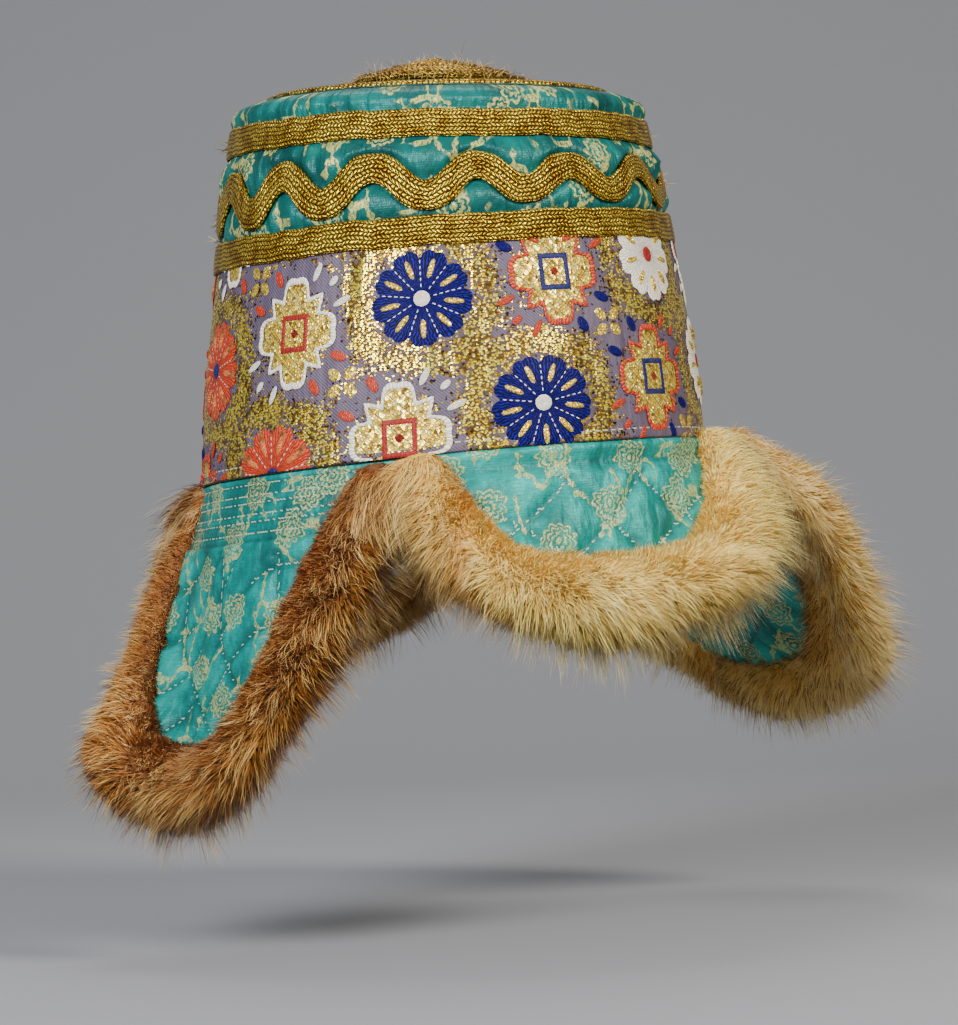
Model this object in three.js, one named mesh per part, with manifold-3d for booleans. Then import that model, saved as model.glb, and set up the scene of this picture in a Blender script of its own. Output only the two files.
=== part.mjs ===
// A tall four-flap hat: a padded silk crown with a brocade band and gold braid,
// and four quilted flaps edged with fur. Millimetres, +Z up, the front flap towards -Y,
// the wearer's left towards +X. The origin is the middle of the head opening.
import * as THREE from "three";
import { mergeVertices } from "three/addons/utils/BufferGeometryUtils.js";
import Module from "manifold-3d";

const wasm = await Module();
wasm.setup();

// Crown sizes
const rimRadius = 94; // outside of the padded wall at the bottom edge
const sideHeight = 136; // bottom edge to the seam at the shoulder
const domeRise = 12.2; // seam to the middle of the top
const crownWall = 4; // padded silk
const rimSlope = 4.8; // the bottom edge is this much higher on the sloping side
const rimSlopeTurn = 56; // degrees round from the front, where the bottom edge is highest
const topTilt = 4.4; // how far the worn top has sunk on one side and risen on the other
const topTiltTurn = -16; // degrees round from the front, where it has sunk most
const waistTilt = 4.1; // the same for the lower braid, which is sewn on aslant
const waistTiltTurn = -71;
const seamGap = 0.3; // between two pieces that are sewn together

// Trim sizes
const brocadeThickness = 1;
const braidThickness = 1.2;
const braidWidth = 11;
const lowerBraidHeight = 81.3; // middle of the braid above the bottom edge
const upperBraidBelowSeam = 15.2;
const upperBraidHeight = sideHeight - upperBraidBelowSeam;
const waveAboveLowerBraid = 17.7;
const waveHeight = lowerBraidHeight + waveAboveLowerBraid;
const waveWidth = 10;
const waveAmplitude = 5;
const waveCount = 14;
const waveTurn = -25.3; // degrees round from the front, where one crest lies
const topBraidInsideSeam = 4.3; // middle of the braid, inwards from the seam
const topBraidWidth = 8;
const coilRadius = 36;
const coilHeight = 3;
const coilTurns = 3;

// Flap and fur sizes
const flapThickness = 3;
const frontFlapLength = 62;
const rightEarFlapLength = 118;
const leftEarFlapLength = 120;
const backFlapLength = 62;
const uprightShare = 0.12; // the share of a flap, at the rim, that turns square to it
const furStart = 0.1; // the share of a flap's length that the fur leaves free at the rim
const furHalfWidth = 17; // across the strip, from the flap's edge
const furHalfDepth = 12; // away from the cloth
const furProud = 3; // how far the strip's middle lies outside the cloth
const furEndSize = 0.55; // of the full size, at the strip's two ends
const furEndShare = 0.15; // of the strip's length, over which it fills out
const furEndRound = 0.03; // of the strip's length, over which its end is rounded
const lockLength = 21;
const lockRadius = 10;
const lockRoot = 0.25; // how far out of the strip's middle a lock starts
const lockSpacing = 31; // along the strip
const lockDroop = 0.5; // how much of a lock's direction is straight down
const lockMargin = 0.07; // the share of the strip at each end that has no locks
// How far round the strip the locks of every other row stand, in half turns.
const lockTurns = [
  [-0.12, 0.38, 0.82],
  [0.15, 0.62, 1],
];

// How finely the round forms, the cloth and the fur are divided
const roundSegments = 32;
const waveSegments = 7; // to a wave
const clothColumns = 10;
const clothRows = 6;
const furRounds = 9;
const furLengths = 22;
const radians = THREE.MathUtils.degToRad;

// The crown's outline, from the bottom edge up: shares of sideHeight and of rimRadius.
const sideProfile = [
  { height: 0, radius: 1 },
  { height: 0.155, radius: 0.985 },
  { height: 0.325, radius: 0.96 },
  { height: 0.57, radius: 0.903 },
  { height: 0.64, radius: 0.889 },
  { height: 0.7, radius: 0.883 },
  { height: 0.78, radius: 0.864 },
  { height: 0.855, radius: 0.844 },
  { height: 0.93, radius: 0.826 },
  { height: 0.957, radius: 0.817 },
  { height: 0.98, radius: 0.79 },
  { height: 0.993, radius: 0.75 },
  { height: 1, radius: 0.7 },
];

// The top, from its seam inwards: shares of domeRise and of the seam's radius.
const topProfile = [
  { height: 0, radius: 1 },
  { height: 0.06, radius: 0.97 },
  { height: 0.12, radius: 0.87 },
  { height: 0.2, radius: 0.7 },
  { height: 0.3, radius: 0.56 },
  { height: 0.55, radius: 0.38 },
  { height: 0.85, radius: 0.17 },
  { height: 1, radius: 0 },
];

const seamRadius = rimRadius * sideProfile.at(-1).radius;
const topBraidRadius = seamRadius - topBraidInsideSeam;

// One row for each section down a flap. down: share of the way to the tip. drop and
// reach: how far it has fallen and moved out, as shares of the flap's length. half: its
// half width, as a share of a quarter of the rim. minus and plus: how far its two edges
// stand out beyond its middle, as shares of the length.
const shortSections = [
  { down: 0, drop: 0, reach: 0, half: 0.985, minus: 0, plus: 0 },
  { down: 0.25, drop: 0.25, reach: 0.06, half: 0.91, minus: 0.03, plus: 0.1 },
  { down: 0.5, drop: 0.5, reach: 0.12, half: 0.8, minus: 0.06, plus: 0.16 },
  { down: 0.75, drop: 0.73, reach: 0.18, half: 0.62, minus: 0.06, plus: 0.18 },
  { down: 0.92, drop: 0.87, reach: 0.22, half: 0.39, minus: 0.04, plus: 0.13 },
  { down: 1, drop: 0.92, reach: 0.24, half: 0.21, minus: 0.02, plus: 0.08 },
];
const hangingSections = [
  { down: 0, drop: 0, reach: 0, half: 0.985, minus: 0, plus: 0 },
  { down: 0.25, drop: 0.24, reach: 0.03, half: 0.84, minus: 0.07, plus: 0.02 },
  { down: 0.5, drop: 0.48, reach: 0.06, half: 0.7, minus: 0.13, plus: 0.02 },
  { down: 0.75, drop: 0.72, reach: 0.1, half: 0.53, minus: 0.17, plus: 0.03 },
  { down: 0.92, drop: 0.88, reach: 0.14, half: 0.35, minus: 0.17, plus: 0.02 },
  { down: 1, drop: 0.95, reach: 0.17, half: 0.18, minus: 0.13, plus: 0.02 },
];
const spreadSections = [
  { down: 0, drop: 0, reach: 0, half: 0.985, minus: 0, plus: 0 },
  { down: 0.25, drop: 0.21, reach: 0.11, half: 0.9, minus: 0.15, plus: 0.05 },
  { down: 0.5, drop: 0.42, reach: 0.24, half: 0.78, minus: 0.17, plus: 0.08 },
  { down: 0.75, drop: 0.63, reach: 0.37, half: 0.61, minus: 0.15, plus: 0.08 },
  { down: 0.92, drop: 0.76, reach: 0.48, half: 0.4, minus: 0.1, plus: 0.06 },
  { down: 1, drop: 0.81, reach: 0.53, half: 0.2, minus: 0.06, plus: 0.03 },
];

// turn: degrees round from the front to the flap's middle. lean: how far its tip swings
// sideways, in degrees. curl: how sharply its edges bend out.
const flaps = [
  { name: "front", turn: 0, lean: -3, curl: 2.2, length: frontFlapLength, sections: shortSections },
  { name: "right_ear", turn: -90, lean: -4, curl: 4, length: rightEarFlapLength, sections: hangingSections },
  { name: "left_ear", turn: 90, lean: 0, curl: 2.2, length: leftEarFlapLength, sections: spreadSections },
  { name: "back", turn: 180, lean: 0, curl: 2.2, length: backFlapLength, sections: shortSections },
];

const silk = new THREE.MeshStandardMaterial({ color: 0x1f9a9c, roughness: 0.45 });
const goldBraid = new THREE.MeshStandardMaterial({ color: 0xa8842f, roughness: 0.42, metalness: 0.7 });
const brocade = new THREE.MeshStandardMaterial({ color: 0x8f7c5a, roughness: 0.5, metalness: 0.3 });
const furs = {
  front: new THREE.MeshStandardMaterial({ color: 0xd2b27c, roughness: 0.9 }),
  right_ear: new THREE.MeshStandardMaterial({ color: 0x8a5c33, roughness: 0.9 }),
  left_ear: new THREE.MeshStandardMaterial({ color: 0xbf9356, roughness: 0.9 }),
  back: new THREE.MeshStandardMaterial({ color: 0xa77c48, roughness: 0.9 }),
};

// A smooth value from a table: column `key` at the place `at` along column `along`, and
// straight on past the last row.
function fromTable(rows, along, key, at) {
  const last = rows.length - 1;
  let i = 0;
  while (i < last - 1 && at > rows[i + 1][along]) i += 1;
  const slope = (a, b) => (rows[b][key] - rows[a][key]) / (rows[b][along] - rows[a][along]);
  const step = rows[i + 1][along] - rows[i][along];
  const share = (at - rows[i][along]) / step;
  if (share <= 0) return rows[i][key];
  if (share > 1) return rows[last][key] + slope(last - 1, last) * (at - rows[last][along]);
  const before = slope(Math.max(i - 1, 0), i + 1) * step;
  const after = slope(i, Math.min(i + 2, last)) * step;
  const square = share * share;
  const cube = square * share;
  return (
    (2 * cube - 3 * square + 1) * rows[i][key] +
    (cube - 2 * square + share) * before +
    (3 * square - 2 * cube) * rows[i + 1][key] +
    (cube - square) * after
  );
}

// Where the bottom edge lies above or below its mean height, at an angle round the hat.
function edgeHeight(angle) {
  return rimSlope * Math.cos(angle - radians(rimSlopeTurn));
}

// Bends an upright, round form as the real crown is bent: its bottom edge slopes, its
// waist slants the other way and its top has sunk on one side.
function wornShape(geometry) {
  const place = geometry.getAttribute("position");
  const braidEdge = lowerBraidHeight - braidWidth / 2;
  const braidTop = lowerBraidHeight + braidWidth / 2;
  const straight = upperBraidHeight - braidWidth;
  for (let i = 0; i < place.count; i += 1) {
    const angle = Math.atan2(place.getX(i), -place.getY(i));
    const out = Math.hypot(place.getX(i), place.getY(i)) / seamRadius;
    const height = place.getZ(i);
    const slope = 1 - THREE.MathUtils.smoothstep(height, 0, braidEdge);
    const tilt = THREE.MathUtils.smoothstep(height, braidEdge, sideHeight);
    const sink = topTilt * tilt * out * Math.cos(angle - radians(topTiltTurn));
    const waist =
      THREE.MathUtils.smoothstep(height, 0, braidEdge) *
      (1 - THREE.MathUtils.smoothstep(height, braidTop, straight));
    const slant = waistTilt * waist * Math.cos(angle - radians(waistTiltTurn));
    place.setZ(i, height + edgeHeight(angle) * slope - sink - slant);
  }
  return geometry;
}

// Turns a closed outline of {radius, height} points round the Z axis.
function turned(outline, segments = roundSegments) {
  const points = outline.map((p) => new THREE.Vector2(p.radius, p.height));
  return new THREE.LatheGeometry(points, segments).rotateX(Math.PI / 2);
}

// The value in a profile's column `key` at a place along its column `along`, between rows
// on a straight line, as the turned outline itself runs.
function onProfile(profile, along, key, at) {
  const rows = [...profile].sort((a, b) => a[along] - b[along]);
  const above = rows.findIndex((row) => row[along] >= at);
  if (above < 0) return rows.at(-1)[key];
  if (above === 0) return rows[0][key];
  const low = rows[above - 1];
  const high = rows[above];
  return THREE.MathUtils.mapLinear(at, low[along], high[along], low[key], high[key]);
}

// The outside radius of the crown's wall at a height above the bottom edge.
function wallRadius(height) {
  return rimRadius * onProfile(sideProfile, "height", "radius", height / sideHeight);
}

// The height of the top's outside at a radius.
function domeHeight(radius) {
  const share = onProfile(topProfile, "radius", "height", radius / seamRadius);
  return sideHeight + seamGap + domeRise * share;
}

function node(name, geometry, material) {
  const mesh = new THREE.Mesh(geometry, material);
  mesh.name = name;
  return mesh;
}

function crownSide() {
  const outside = sideProfile.map((p) => ({
    radius: rimRadius * p.radius,
    height: sideHeight * p.height,
  }));
  const inside = [1, 0.93, 0.75, 0.5, 0].map((share) => ({
    radius: wallRadius(sideHeight * share) - crownWall,
    height: sideHeight * share,
  }));
  const outline = [...outside, ...inside, outside[0]];
  return node("crown_side", wornShape(turned(outline)), silk);
}

function crownTop() {
  const base = sideHeight + seamGap;
  const rim = seamRadius - crownWall;
  const inside = [0, 0.35, 0.7].map((share) => ({
    radius: rim * share,
    height: Math.max(base, domeHeight(seamRadius * share) - crownWall),
  }));
  const outside = topProfile.map((p) => ({
    radius: seamRadius * p.radius,
    height: base + domeRise * p.height,
  }));
  const outline = [...inside, { radius: rim, height: base }, ...outside];
  return node("crown_top", wornShape(turned(outline)), silk);
}

// The closed outline of a strip that lies on the crown's wall, from one height to another.
function stripOutline(low, high, away, thickness) {
  const rows = sideProfile.map((row) => row.height * sideHeight);
  const between = rows.filter((height) => height > low && height < high);
  const heights = [low, ...between, high];
  const point = (height, out) => ({ radius: wallRadius(height) + out, height });
  const outside = heights.map((height) => point(height, away + thickness));
  const inside = heights.map((height) => point(height, away));
  return [...outside, ...inside.reverse(), outside[0]];
}

function brocadeBand() {
  const outline = stripOutline(0, lowerBraidHeight, seamGap, brocadeThickness);
  return node("brocade_band", wornShape(turned(outline)), brocade);
}

// A flat braid sewn round the crown's side; `away` is the clear space below it.
function sideBraid(name, height, away) {
  const half = braidWidth / 2;
  const outline = stripOutline(height - half, height + half, away, braidThickness);
  return node(name, wornShape(turned(outline)), goldBraid);
}

function waveBraid() {
  const over = seamGap + braidThickness;
  const outline = [
    { out: over, up: -0.5 },
    { out: over, up: 0 },
    { out: over, up: 0.5 },
    { out: seamGap, up: 0.5 },
    { out: seamGap, up: 0 },
    { out: seamGap, up: -0.5 },
    { out: over, up: -0.5 },
  ];
  const ring = outline.map((p) => ({ radius: rimRadius + p.out, height: p.up }));
  const geometry = turned(ring, waveCount * waveSegments);
  const place = geometry.getAttribute("position");
  const steepest = (waveAmplitude * waveCount) / wallRadius(waveHeight);
  for (let i = 0; i < place.count; i += 1) {
    const angle = Math.atan2(place.getX(i), -place.getY(i));
    const away = Math.hypot(place.getX(i), place.getY(i)) - rimRadius;
    const phase = waveCount * (angle - radians(waveTurn));
    const width = waveWidth * Math.hypot(1, steepest * Math.sin(phase));
    const height = waveHeight + waveAmplitude * Math.cos(phase) + width * place.getZ(i);
    const radius = wallRadius(height) + away;
    place.setXYZ(i, radius * Math.sin(angle), -radius * Math.cos(angle), height);
  }
  return node("wave_braid", wornShape(geometry), goldBraid);
}

// Points a clear seam above the top, from one radius to another.
function topUnderside(low, high) {
  const rows = topProfile.map((row) => row.radius * seamRadius).reverse();
  const between = rows.filter((radius) => radius > low && radius < high);
  const radii = [low, ...between, high];
  return radii.map((radius) => ({ radius, height: domeHeight(radius) + seamGap }));
}

function topBraid() {
  const half = topBraidWidth / 2;
  const under = topUnderside(topBraidRadius - half, topBraidRadius + half);
  const over = under.map((p) => ({ radius: p.radius, height: p.height + braidThickness }));
  return node("top_braid", wornShape(turned([...under, ...over.reverse(), under[0]])), goldBraid);
}

// The middle of the top: braid coiled flat, one ridge to each turn.
function topCoil() {
  const outline = topUnderside(0, coilRadius);
  const step = coilRadius / coilTurns;
  for (let turn = coilTurns; turn >= 1; turn -= 1) {
    const edge = step * turn;
    const ridge = edge - step / 2;
    const low = domeHeight(edge) + seamGap + coilHeight / 2;
    outline.push({ radius: edge, height: low });
    outline.push({ radius: ridge, height: domeHeight(ridge) + seamGap + coilHeight });
  }
  outline.push({ radius: 0, height: domeHeight(0) + seamGap + coilHeight });
  return node("top_coil", wornShape(turned(outline)), goldBraid);
}

// A point of a flap's middle surface. across runs from -1 to 1 between its two edges and
// down from 0 at the rim to 1 at the tip.
function flapPoint(flap, across, down) {
  const at = (key) => fromTable(flap.sections, "down", key, down);
  const middleRadius = rimRadius - crownWall / 2;
  const radius = middleRadius + flap.length * at("reach");
  const quarter = (Math.PI / 4) * middleRadius;
  const angle =
    radians(flap.turn + flap.lean * down) + (across * at("half") * quarter) / radius;
  const minus = at("minus") * Math.max(0, -across) ** flap.curl;
  const plus = at("plus") * Math.max(0, across) ** flap.curl;
  const out = radius + flap.length * (minus + plus);
  return new THREE.Vector3(
    out * Math.sin(angle),
    -out * Math.cos(angle),
    edgeHeight(angle) - seamGap - flap.length * at("drop"),
  );
}

// The flap's own directions at a point: across it, down it, and out of its face.
function flapFrame(flap, across, down) {
  const step = 0.01;
  const clampedDown = THREE.MathUtils.clamp(down, step, 1 - step);
  const place = flapPoint(flap, across, down);
  const right = flapPoint(flap, across + step, clampedDown).sub(
    flapPoint(flap, across - step, clampedDown),
  );
  const below = flapPoint(flap, across, clampedDown + step).sub(
    flapPoint(flap, across, clampedDown - step),
  );
  const out = new THREE.Vector3().crossVectors(below, right).normalize();
  return { place, right: right.normalize(), below: below.normalize(), out };
}

// The quilted cloth as a bent sheet; `grow` makes it larger all round, for the slot that
// the fur strip needs.
function flapCloth(flap, grow) {
  const geometry = new THREE.BoxGeometry(2, 1, 1, clothColumns, clothRows, 1);
  const place = geometry.getAttribute("position");
  const half = flapThickness / 2 + grow;
  for (let i = 0; i < place.count; i += 1) {
    const across = place.getX(i);
    const down = 0.5 - place.getY(i);
    const frame = flapFrame(flap, across, down);
    // Near the rim the sheet stands square to the crown's bottom face.
    const level = THREE.MathUtils.smoothstep(down, 0, uprightShare);
    const flat = new THREE.Vector3(frame.out.x, frame.out.y, frame.out.z * level).normalize();
    const point = frame.place.addScaledVector(flat, place.getZ(i) > 0 ? half : -half);
    if (Math.abs(across) === 1) point.addScaledVector(frame.right, across * grow);
    if (down === 0 || down === 1) point.addScaledVector(frame.below, (2 * down - 1) * grow);
    place.setXYZ(i, point.x, point.y, point.z);
  }
  return geometry;
}

// The line that the fur strip follows: down one edge, round the tip and up the other.
function furLine(flap) {
  const side = [furStart, 0.25, 0.42, 0.6, 0.78, 0.92];
  const steps = [
    ...side.map((down) => ({ across: -1, down })),
    { across: -0.55, down: 1 },
    { across: 0.55, down: 1 },
    ...[...side].reverse().map((down) => ({ across: 1, down })),
  ];
  const frames = steps.map((s) => flapFrame(flap, s.across, s.down));
  const line = new THREE.CatmullRomCurve3(frames.map((f) => f.place));
  const outs = new THREE.CatmullRomCurve3(frames.map((f) => f.out));
  return { line, outs };
}

// The strip's directions at a share of its length.
function furFrame({ line, outs }, share) {
  const t = line.getUtoTmapping(share);
  const along = line.getTangent(t);
  const out = outs.getPoint(t);
  out.addScaledVector(along, -out.dot(along)).normalize();
  const away = new THREE.Vector3().crossVectors(along, out).normalize();
  return { place: line.getPoint(t), along, out, away };
}

// How full the strip is: narrow at the notch between two flaps and rounded at its ends.
function fullness(share) {
  const fromEnd = Math.min(share, 1 - share);
  const rounded = Math.sqrt(Math.min(1, fromEnd / furEndRound));
  const filled = THREE.MathUtils.smoothstep(fromEnd, 0, furEndShare);
  return rounded * THREE.MathUtils.lerp(furEndSize, 1, filled);
}

function solid(geometry) {
  const bare = geometry.clone();
  bare.deleteAttribute("normal");
  bare.deleteAttribute("uv");
  const merged = mergeVertices(bare, 1e-3);
  return new wasm.Manifold(
    new wasm.Mesh({
      numProp: 3,
      vertProperties: merged.getAttribute("position").array,
      triVerts: new Uint32Array(merged.index.array),
    }),
  );
}

function geometryOf(manifold) {
  const mesh = manifold.getMesh();
  const geometry = new THREE.BufferGeometry();
  geometry.setAttribute("position", new THREE.BufferAttribute(mesh.vertProperties, 3));
  geometry.setIndex(new THREE.BufferAttribute(mesh.triVerts, 1));
  return geometry;
}

// The fur strip's backing: a fat roll along the flap's edge.
function furRoll(route) {
  const geometry = new THREE.SphereGeometry(1, furRounds, furLengths);
  const place = geometry.getAttribute("position");
  for (let i = 0; i < place.count; i += 1) {
    const share = Math.acos(THREE.MathUtils.clamp(-place.getY(i), -1, 1)) / Math.PI;
    const around = Math.atan2(place.getZ(i), place.getX(i));
    const frame = furFrame(route, share);
    const size = fullness(share);
    const point = frame.place
      .addScaledVector(frame.out, size * (furProud + furHalfDepth * Math.sin(around)))
      .addScaledVector(frame.away, size * furHalfWidth * Math.cos(around));
    place.setXYZ(i, point.x, point.y, point.z);
  }
  return geometry;
}

// One pointed lock of fur, rooted inside the roll.
function furLock(route, share, around) {
  const frame = furFrame(route, share);
  const size = fullness(share);
  const outwards = new THREE.Vector3()
    .addScaledVector(frame.out, furHalfDepth * Math.sin(around))
    .addScaledVector(frame.away, furHalfWidth * Math.cos(around));
  const root = frame.place.clone().addScaledVector(frame.out, size * furProud);
  root.addScaledVector(outwards, size * lockRoot);
  const comb = outwards.normalize();
  comb.z -= lockDroop;
  comb.normalize();
  const lock = new THREE.ConeGeometry(lockRadius * size, lockLength * size, 4);
  lock.translate(0, (lockLength * size) / 2, 0);
  const turn = new THREE.Quaternion().setFromUnitVectors(new THREE.Vector3(0, 1, 0), comb);
  return lock.applyQuaternion(turn).translate(root.x, root.y, root.z);
}

// The crown with a little clearance, as a solid that the fur stays out of.
function crownClearance() {
  const away = 2 * seamGap + brocadeThickness;
  const low = -seamGap;
  const heights = [0, 0.3, 0.65].map((share) => share * lowerBraidHeight);
  const outside = heights.map((h) => ({ radius: wallRadius(h) + away, height: h }));
  outside[0].height = low;
  const top = outside.at(-1).height;
  const outline = [{ radius: 0, height: low }, ...outside, { radius: 0, height: top }];
  return solid(wornShape(turned(outline, roundSegments * 2)));
}

// The quarter round the hat that belongs to one flap, so that neighbouring fur keeps apart.
function flapQuarter(flap) {
  const size = 4 * (rimRadius + flap.length);
  const box = new THREE.BoxGeometry(size, size, 2 * size);
  const apart = seamGap * Math.SQRT2;
  box.translate(size / 2 + apart, size / 2 + apart, 0);
  return solid(box.rotateZ(radians(flap.turn - 135)));
}

function furStrip(flap, crown) {
  const route = furLine(flap);
  let fur = solid(furRoll(route));
  const length = route.line.getLength();
  const furred = 1 - 2 * lockMargin;
  const count = Math.round((length * furred) / lockSpacing);
  for (let i = 0; i < count; i += 1) {
    const share = lockMargin + (furred * (i + 0.5)) / count;
    for (const turn of lockTurns[i % 2]) {
      fur = fur.add(solid(furLock(route, share, Math.PI * turn)));
    }
  }
  fur = fur.intersect(flapQuarter(flap)).subtract(crown);
  fur = fur.subtract(solid(flapCloth(flap, seamGap)));
  const whole = fur.decompose().sort((a, b) => b.volume() - a.volume())[0];
  return node(`${flap.name}_fur`, geometryOf(whole), furs[flap.name]);
}

const hat = new THREE.Group();
hat.add(
  crownSide(),
  crownTop(),
  brocadeBand(),
  sideBraid("lower_braid", lowerBraidHeight, 2 * seamGap + brocadeThickness),
  waveBraid(),
  sideBraid("upper_braid", upperBraidHeight, seamGap),
  topBraid(),
  topCoil(),
);
const crown = crownClearance();
for (const flap of flaps) {
  hat.add(node(`${flap.name}_flap`, flapCloth(flap, 0), silk), furStrip(flap, crown));
}

export default hat;
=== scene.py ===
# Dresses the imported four-flap hat: padded figured silk, woven brocade, gold braid,
# quilted flaps and deep fur. Lengths are in millimetres until a mesh is made.
import math
import bmesh
import bpy
import numpy as np
from mathutils import Euler, Matrix, Vector
from mathutils.kdtree import KDTree


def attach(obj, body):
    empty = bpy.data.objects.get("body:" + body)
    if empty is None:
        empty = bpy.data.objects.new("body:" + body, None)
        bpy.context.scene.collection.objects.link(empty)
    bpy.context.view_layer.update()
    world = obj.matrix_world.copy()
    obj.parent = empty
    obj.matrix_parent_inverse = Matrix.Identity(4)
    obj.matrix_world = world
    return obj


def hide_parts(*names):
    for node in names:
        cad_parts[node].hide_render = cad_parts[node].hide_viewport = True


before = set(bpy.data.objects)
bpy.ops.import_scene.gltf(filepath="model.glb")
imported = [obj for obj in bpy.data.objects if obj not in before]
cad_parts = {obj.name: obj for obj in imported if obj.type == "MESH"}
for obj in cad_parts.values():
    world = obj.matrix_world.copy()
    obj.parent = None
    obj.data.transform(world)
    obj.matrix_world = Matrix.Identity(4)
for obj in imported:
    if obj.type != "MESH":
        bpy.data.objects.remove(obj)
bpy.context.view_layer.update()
metre = 0.001
rng = np.random.default_rng(7)

# The crown. Its sizes are the same as in the source.
crown = {
    "rimRadius": 94, "sideHeight": 136, "domeRise": 12.2, "wall": 4, "seam": 0.3,
    "rimSlope": 4.8, "rimSlopeTurn": 56, "topTilt": 4.4, "topTiltTurn": -16,
    "waistTilt": 4.1, "waistTiltTurn": -71,
}
# The crown's outline from the bottom edge up: shares of sideHeight and of rimRadius.
sideHeights = [0, 0.155, 0.325, 0.57, 0.64, 0.7, 0.78, 0.855, 0.93, 0.957, 0.98, 0.993, 1]
sideRadii = [1, 0.985, 0.96, 0.903, 0.889, 0.883, 0.864, 0.844, 0.826, 0.817, 0.79, 0.75, 0.7]
# The top from its middle out: shares of the seam's radius and of domeRise.
topRadii = [0, 0.17, 0.38, 0.56, 0.7, 0.87, 0.97, 1]
topHeights = [1, 0.85, 0.55, 0.3, 0.2, 0.12, 0.06, 0]


# sRGB hex to linear RGBA
def linear(hexColour):
    parts = [int(hexColour[i:i + 2], 16) / 255 for i in (1, 3, 5)]
    return [*(c / 12.92 if c <= 0.04045 else ((c + 0.055) / 1.055) ** 2.4 for c in parts), 1]


def smoothstep(x, low, high):
    t = np.clip((np.asarray(x, float) - low) / (high - low), 0, 1)
    return t * t * (3 - 2 * t)


# A smooth curve through a table's points, straight on past its last one.
def spline(xs, ys, x):
    xs, ys, x = np.asarray(xs, float), np.asarray(ys, float), np.asarray(x, float)
    slopes = np.empty(len(xs))
    slopes[1:-1] = (ys[2:] - ys[:-2]) / (xs[2:] - xs[:-2])
    slopes[0] = (ys[1] - ys[0]) / (xs[1] - xs[0])
    slopes[-1] = (ys[-1] - ys[-2]) / (xs[-1] - xs[-2])
    i = np.clip(np.searchsorted(xs, x, side="right") - 1, 0, len(xs) - 2)
    step = xs[i + 1] - xs[i]
    t = np.clip((x - xs[i]) / step, 0, 1)
    inside = (
        (2 * t**3 - 3 * t**2 + 1) * ys[i] + (t**3 - 2 * t**2 + t) * step * slopes[i]
        + (3 * t**2 - 2 * t**3) * ys[i + 1] + (t**3 - t**2) * step * slopes[i + 1]
    )
    return inside + np.maximum(0, x - xs[-1]) * slopes[-1]


def unit(v):
    return v / np.maximum(np.linalg.norm(v, axis=-1, keepdims=True), 1e-9)


seamRadius = crown["rimRadius"] * sideRadii[-1]
midRadius = 90  # where lengths round the crown are measured
quarterRound = math.pi / 4 * (crown["rimRadius"] - crown["wall"] / 2)  # half a flap's width


def wallRadius(height):
    share = np.clip(np.asarray(height, float) / crown["sideHeight"], 0, 1)
    return crown["rimRadius"] * np.interp(share, sideHeights, sideRadii)


def domeHeight(radius):
    share = np.interp(np.asarray(radius, float) / seamRadius, topRadii, topHeights)
    return crown["sideHeight"] + crown["seam"] + crown["domeRise"] * share


def edgeHeight(angle):
    return crown["rimSlope"] * np.cos(angle - math.radians(crown["rimSlopeTurn"]))


# The flat braids round the wall, and how thick any of the braids is.
braid = {"thickness": 1.2, "width": 11, "lowerHeight": 81.3, "upperHeight": 120.8}


# The lower braid is sewn on aslant, lowest at the wearer's right front.
def waistSink(angle, height):
    low, high = braid["lowerHeight"] - braid["width"] / 2, braid["lowerHeight"] + braid["width"] / 2
    share = smoothstep(height, 0, low) * (1 - smoothstep(height, high, braid["upperHeight"] - braid["width"]))
    return crown["waistTilt"] * share * np.cos(angle - math.radians(crown["waistTiltTurn"]))


# A point at an angle round the hat, bent as the worn crown is.
def worn(angle, radius, height):
    angle, radius, height = np.broadcast_arrays(angle, radius, height)
    edge = braid["lowerHeight"] - braid["width"] / 2
    slope = 1 - smoothstep(height, 0, edge)
    tilt = smoothstep(height, edge, crown["sideHeight"])
    sink = crown["topTilt"] * tilt * radius / seamRadius
    z = height + edgeHeight(angle) * slope - sink * np.cos(angle - math.radians(crown["topTiltTurn"]))
    z = z - waistSink(angle, height)
    return np.stack([radius * np.sin(angle), -radius * np.cos(angle), z], -1)


# Slow uneven waves round the hat, between about -1 and 1.
def uneven(x, seed, waves=(1, 2, 3, 5, 8)):
    phases = np.random.default_rng(seed).uniform(0, 2 * math.pi, len(waves))
    total = sum(np.sin(k * x + p) / (1 + 0.4 * i) for i, (k, p) in enumerate(zip(waves, phases)))
    return total / 2.2


# Puts a smooth mesh in the scene with its materials.
def sceneObject(name, mesh, materials):
    for material in materials:
        mesh.materials.append(material)
    mesh.shade_smooth()
    made = bpy.data.objects.new(name, mesh)
    bpy.context.scene.collection.objects.link(made)
    return made


# Makes a mesh object from points in millimetres, faces and a place on the cloth for each
# corner of each face.
def meshObject(name, points, faces, places, materials, faceMaterials=None):
    mesh = bpy.data.meshes.new(name)
    points = np.asarray(points, float).reshape(-1, 3) * metre
    faces = np.asarray(faces, np.int32)
    mesh.vertices.add(len(points))
    mesh.vertices.foreach_set("co", points.ravel())
    mesh.loops.add(faces.size)
    mesh.loops.foreach_set("vertex_index", faces.ravel())
    mesh.polygons.add(len(faces))
    mesh.polygons.foreach_set("loop_start", np.arange(len(faces), dtype=np.int32) * faces.shape[1])
    if faceMaterials is not None:
        mesh.polygons.foreach_set("material_index", np.asarray(faceMaterials, np.int32))
    mesh.update(calc_edges=True)
    if places is not None:
        layer = mesh.uv_layers.new(name="place")
        layer.data.foreach_set("uv", np.asarray(places, float).ravel())
    return sceneObject(name, mesh, materials)


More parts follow.
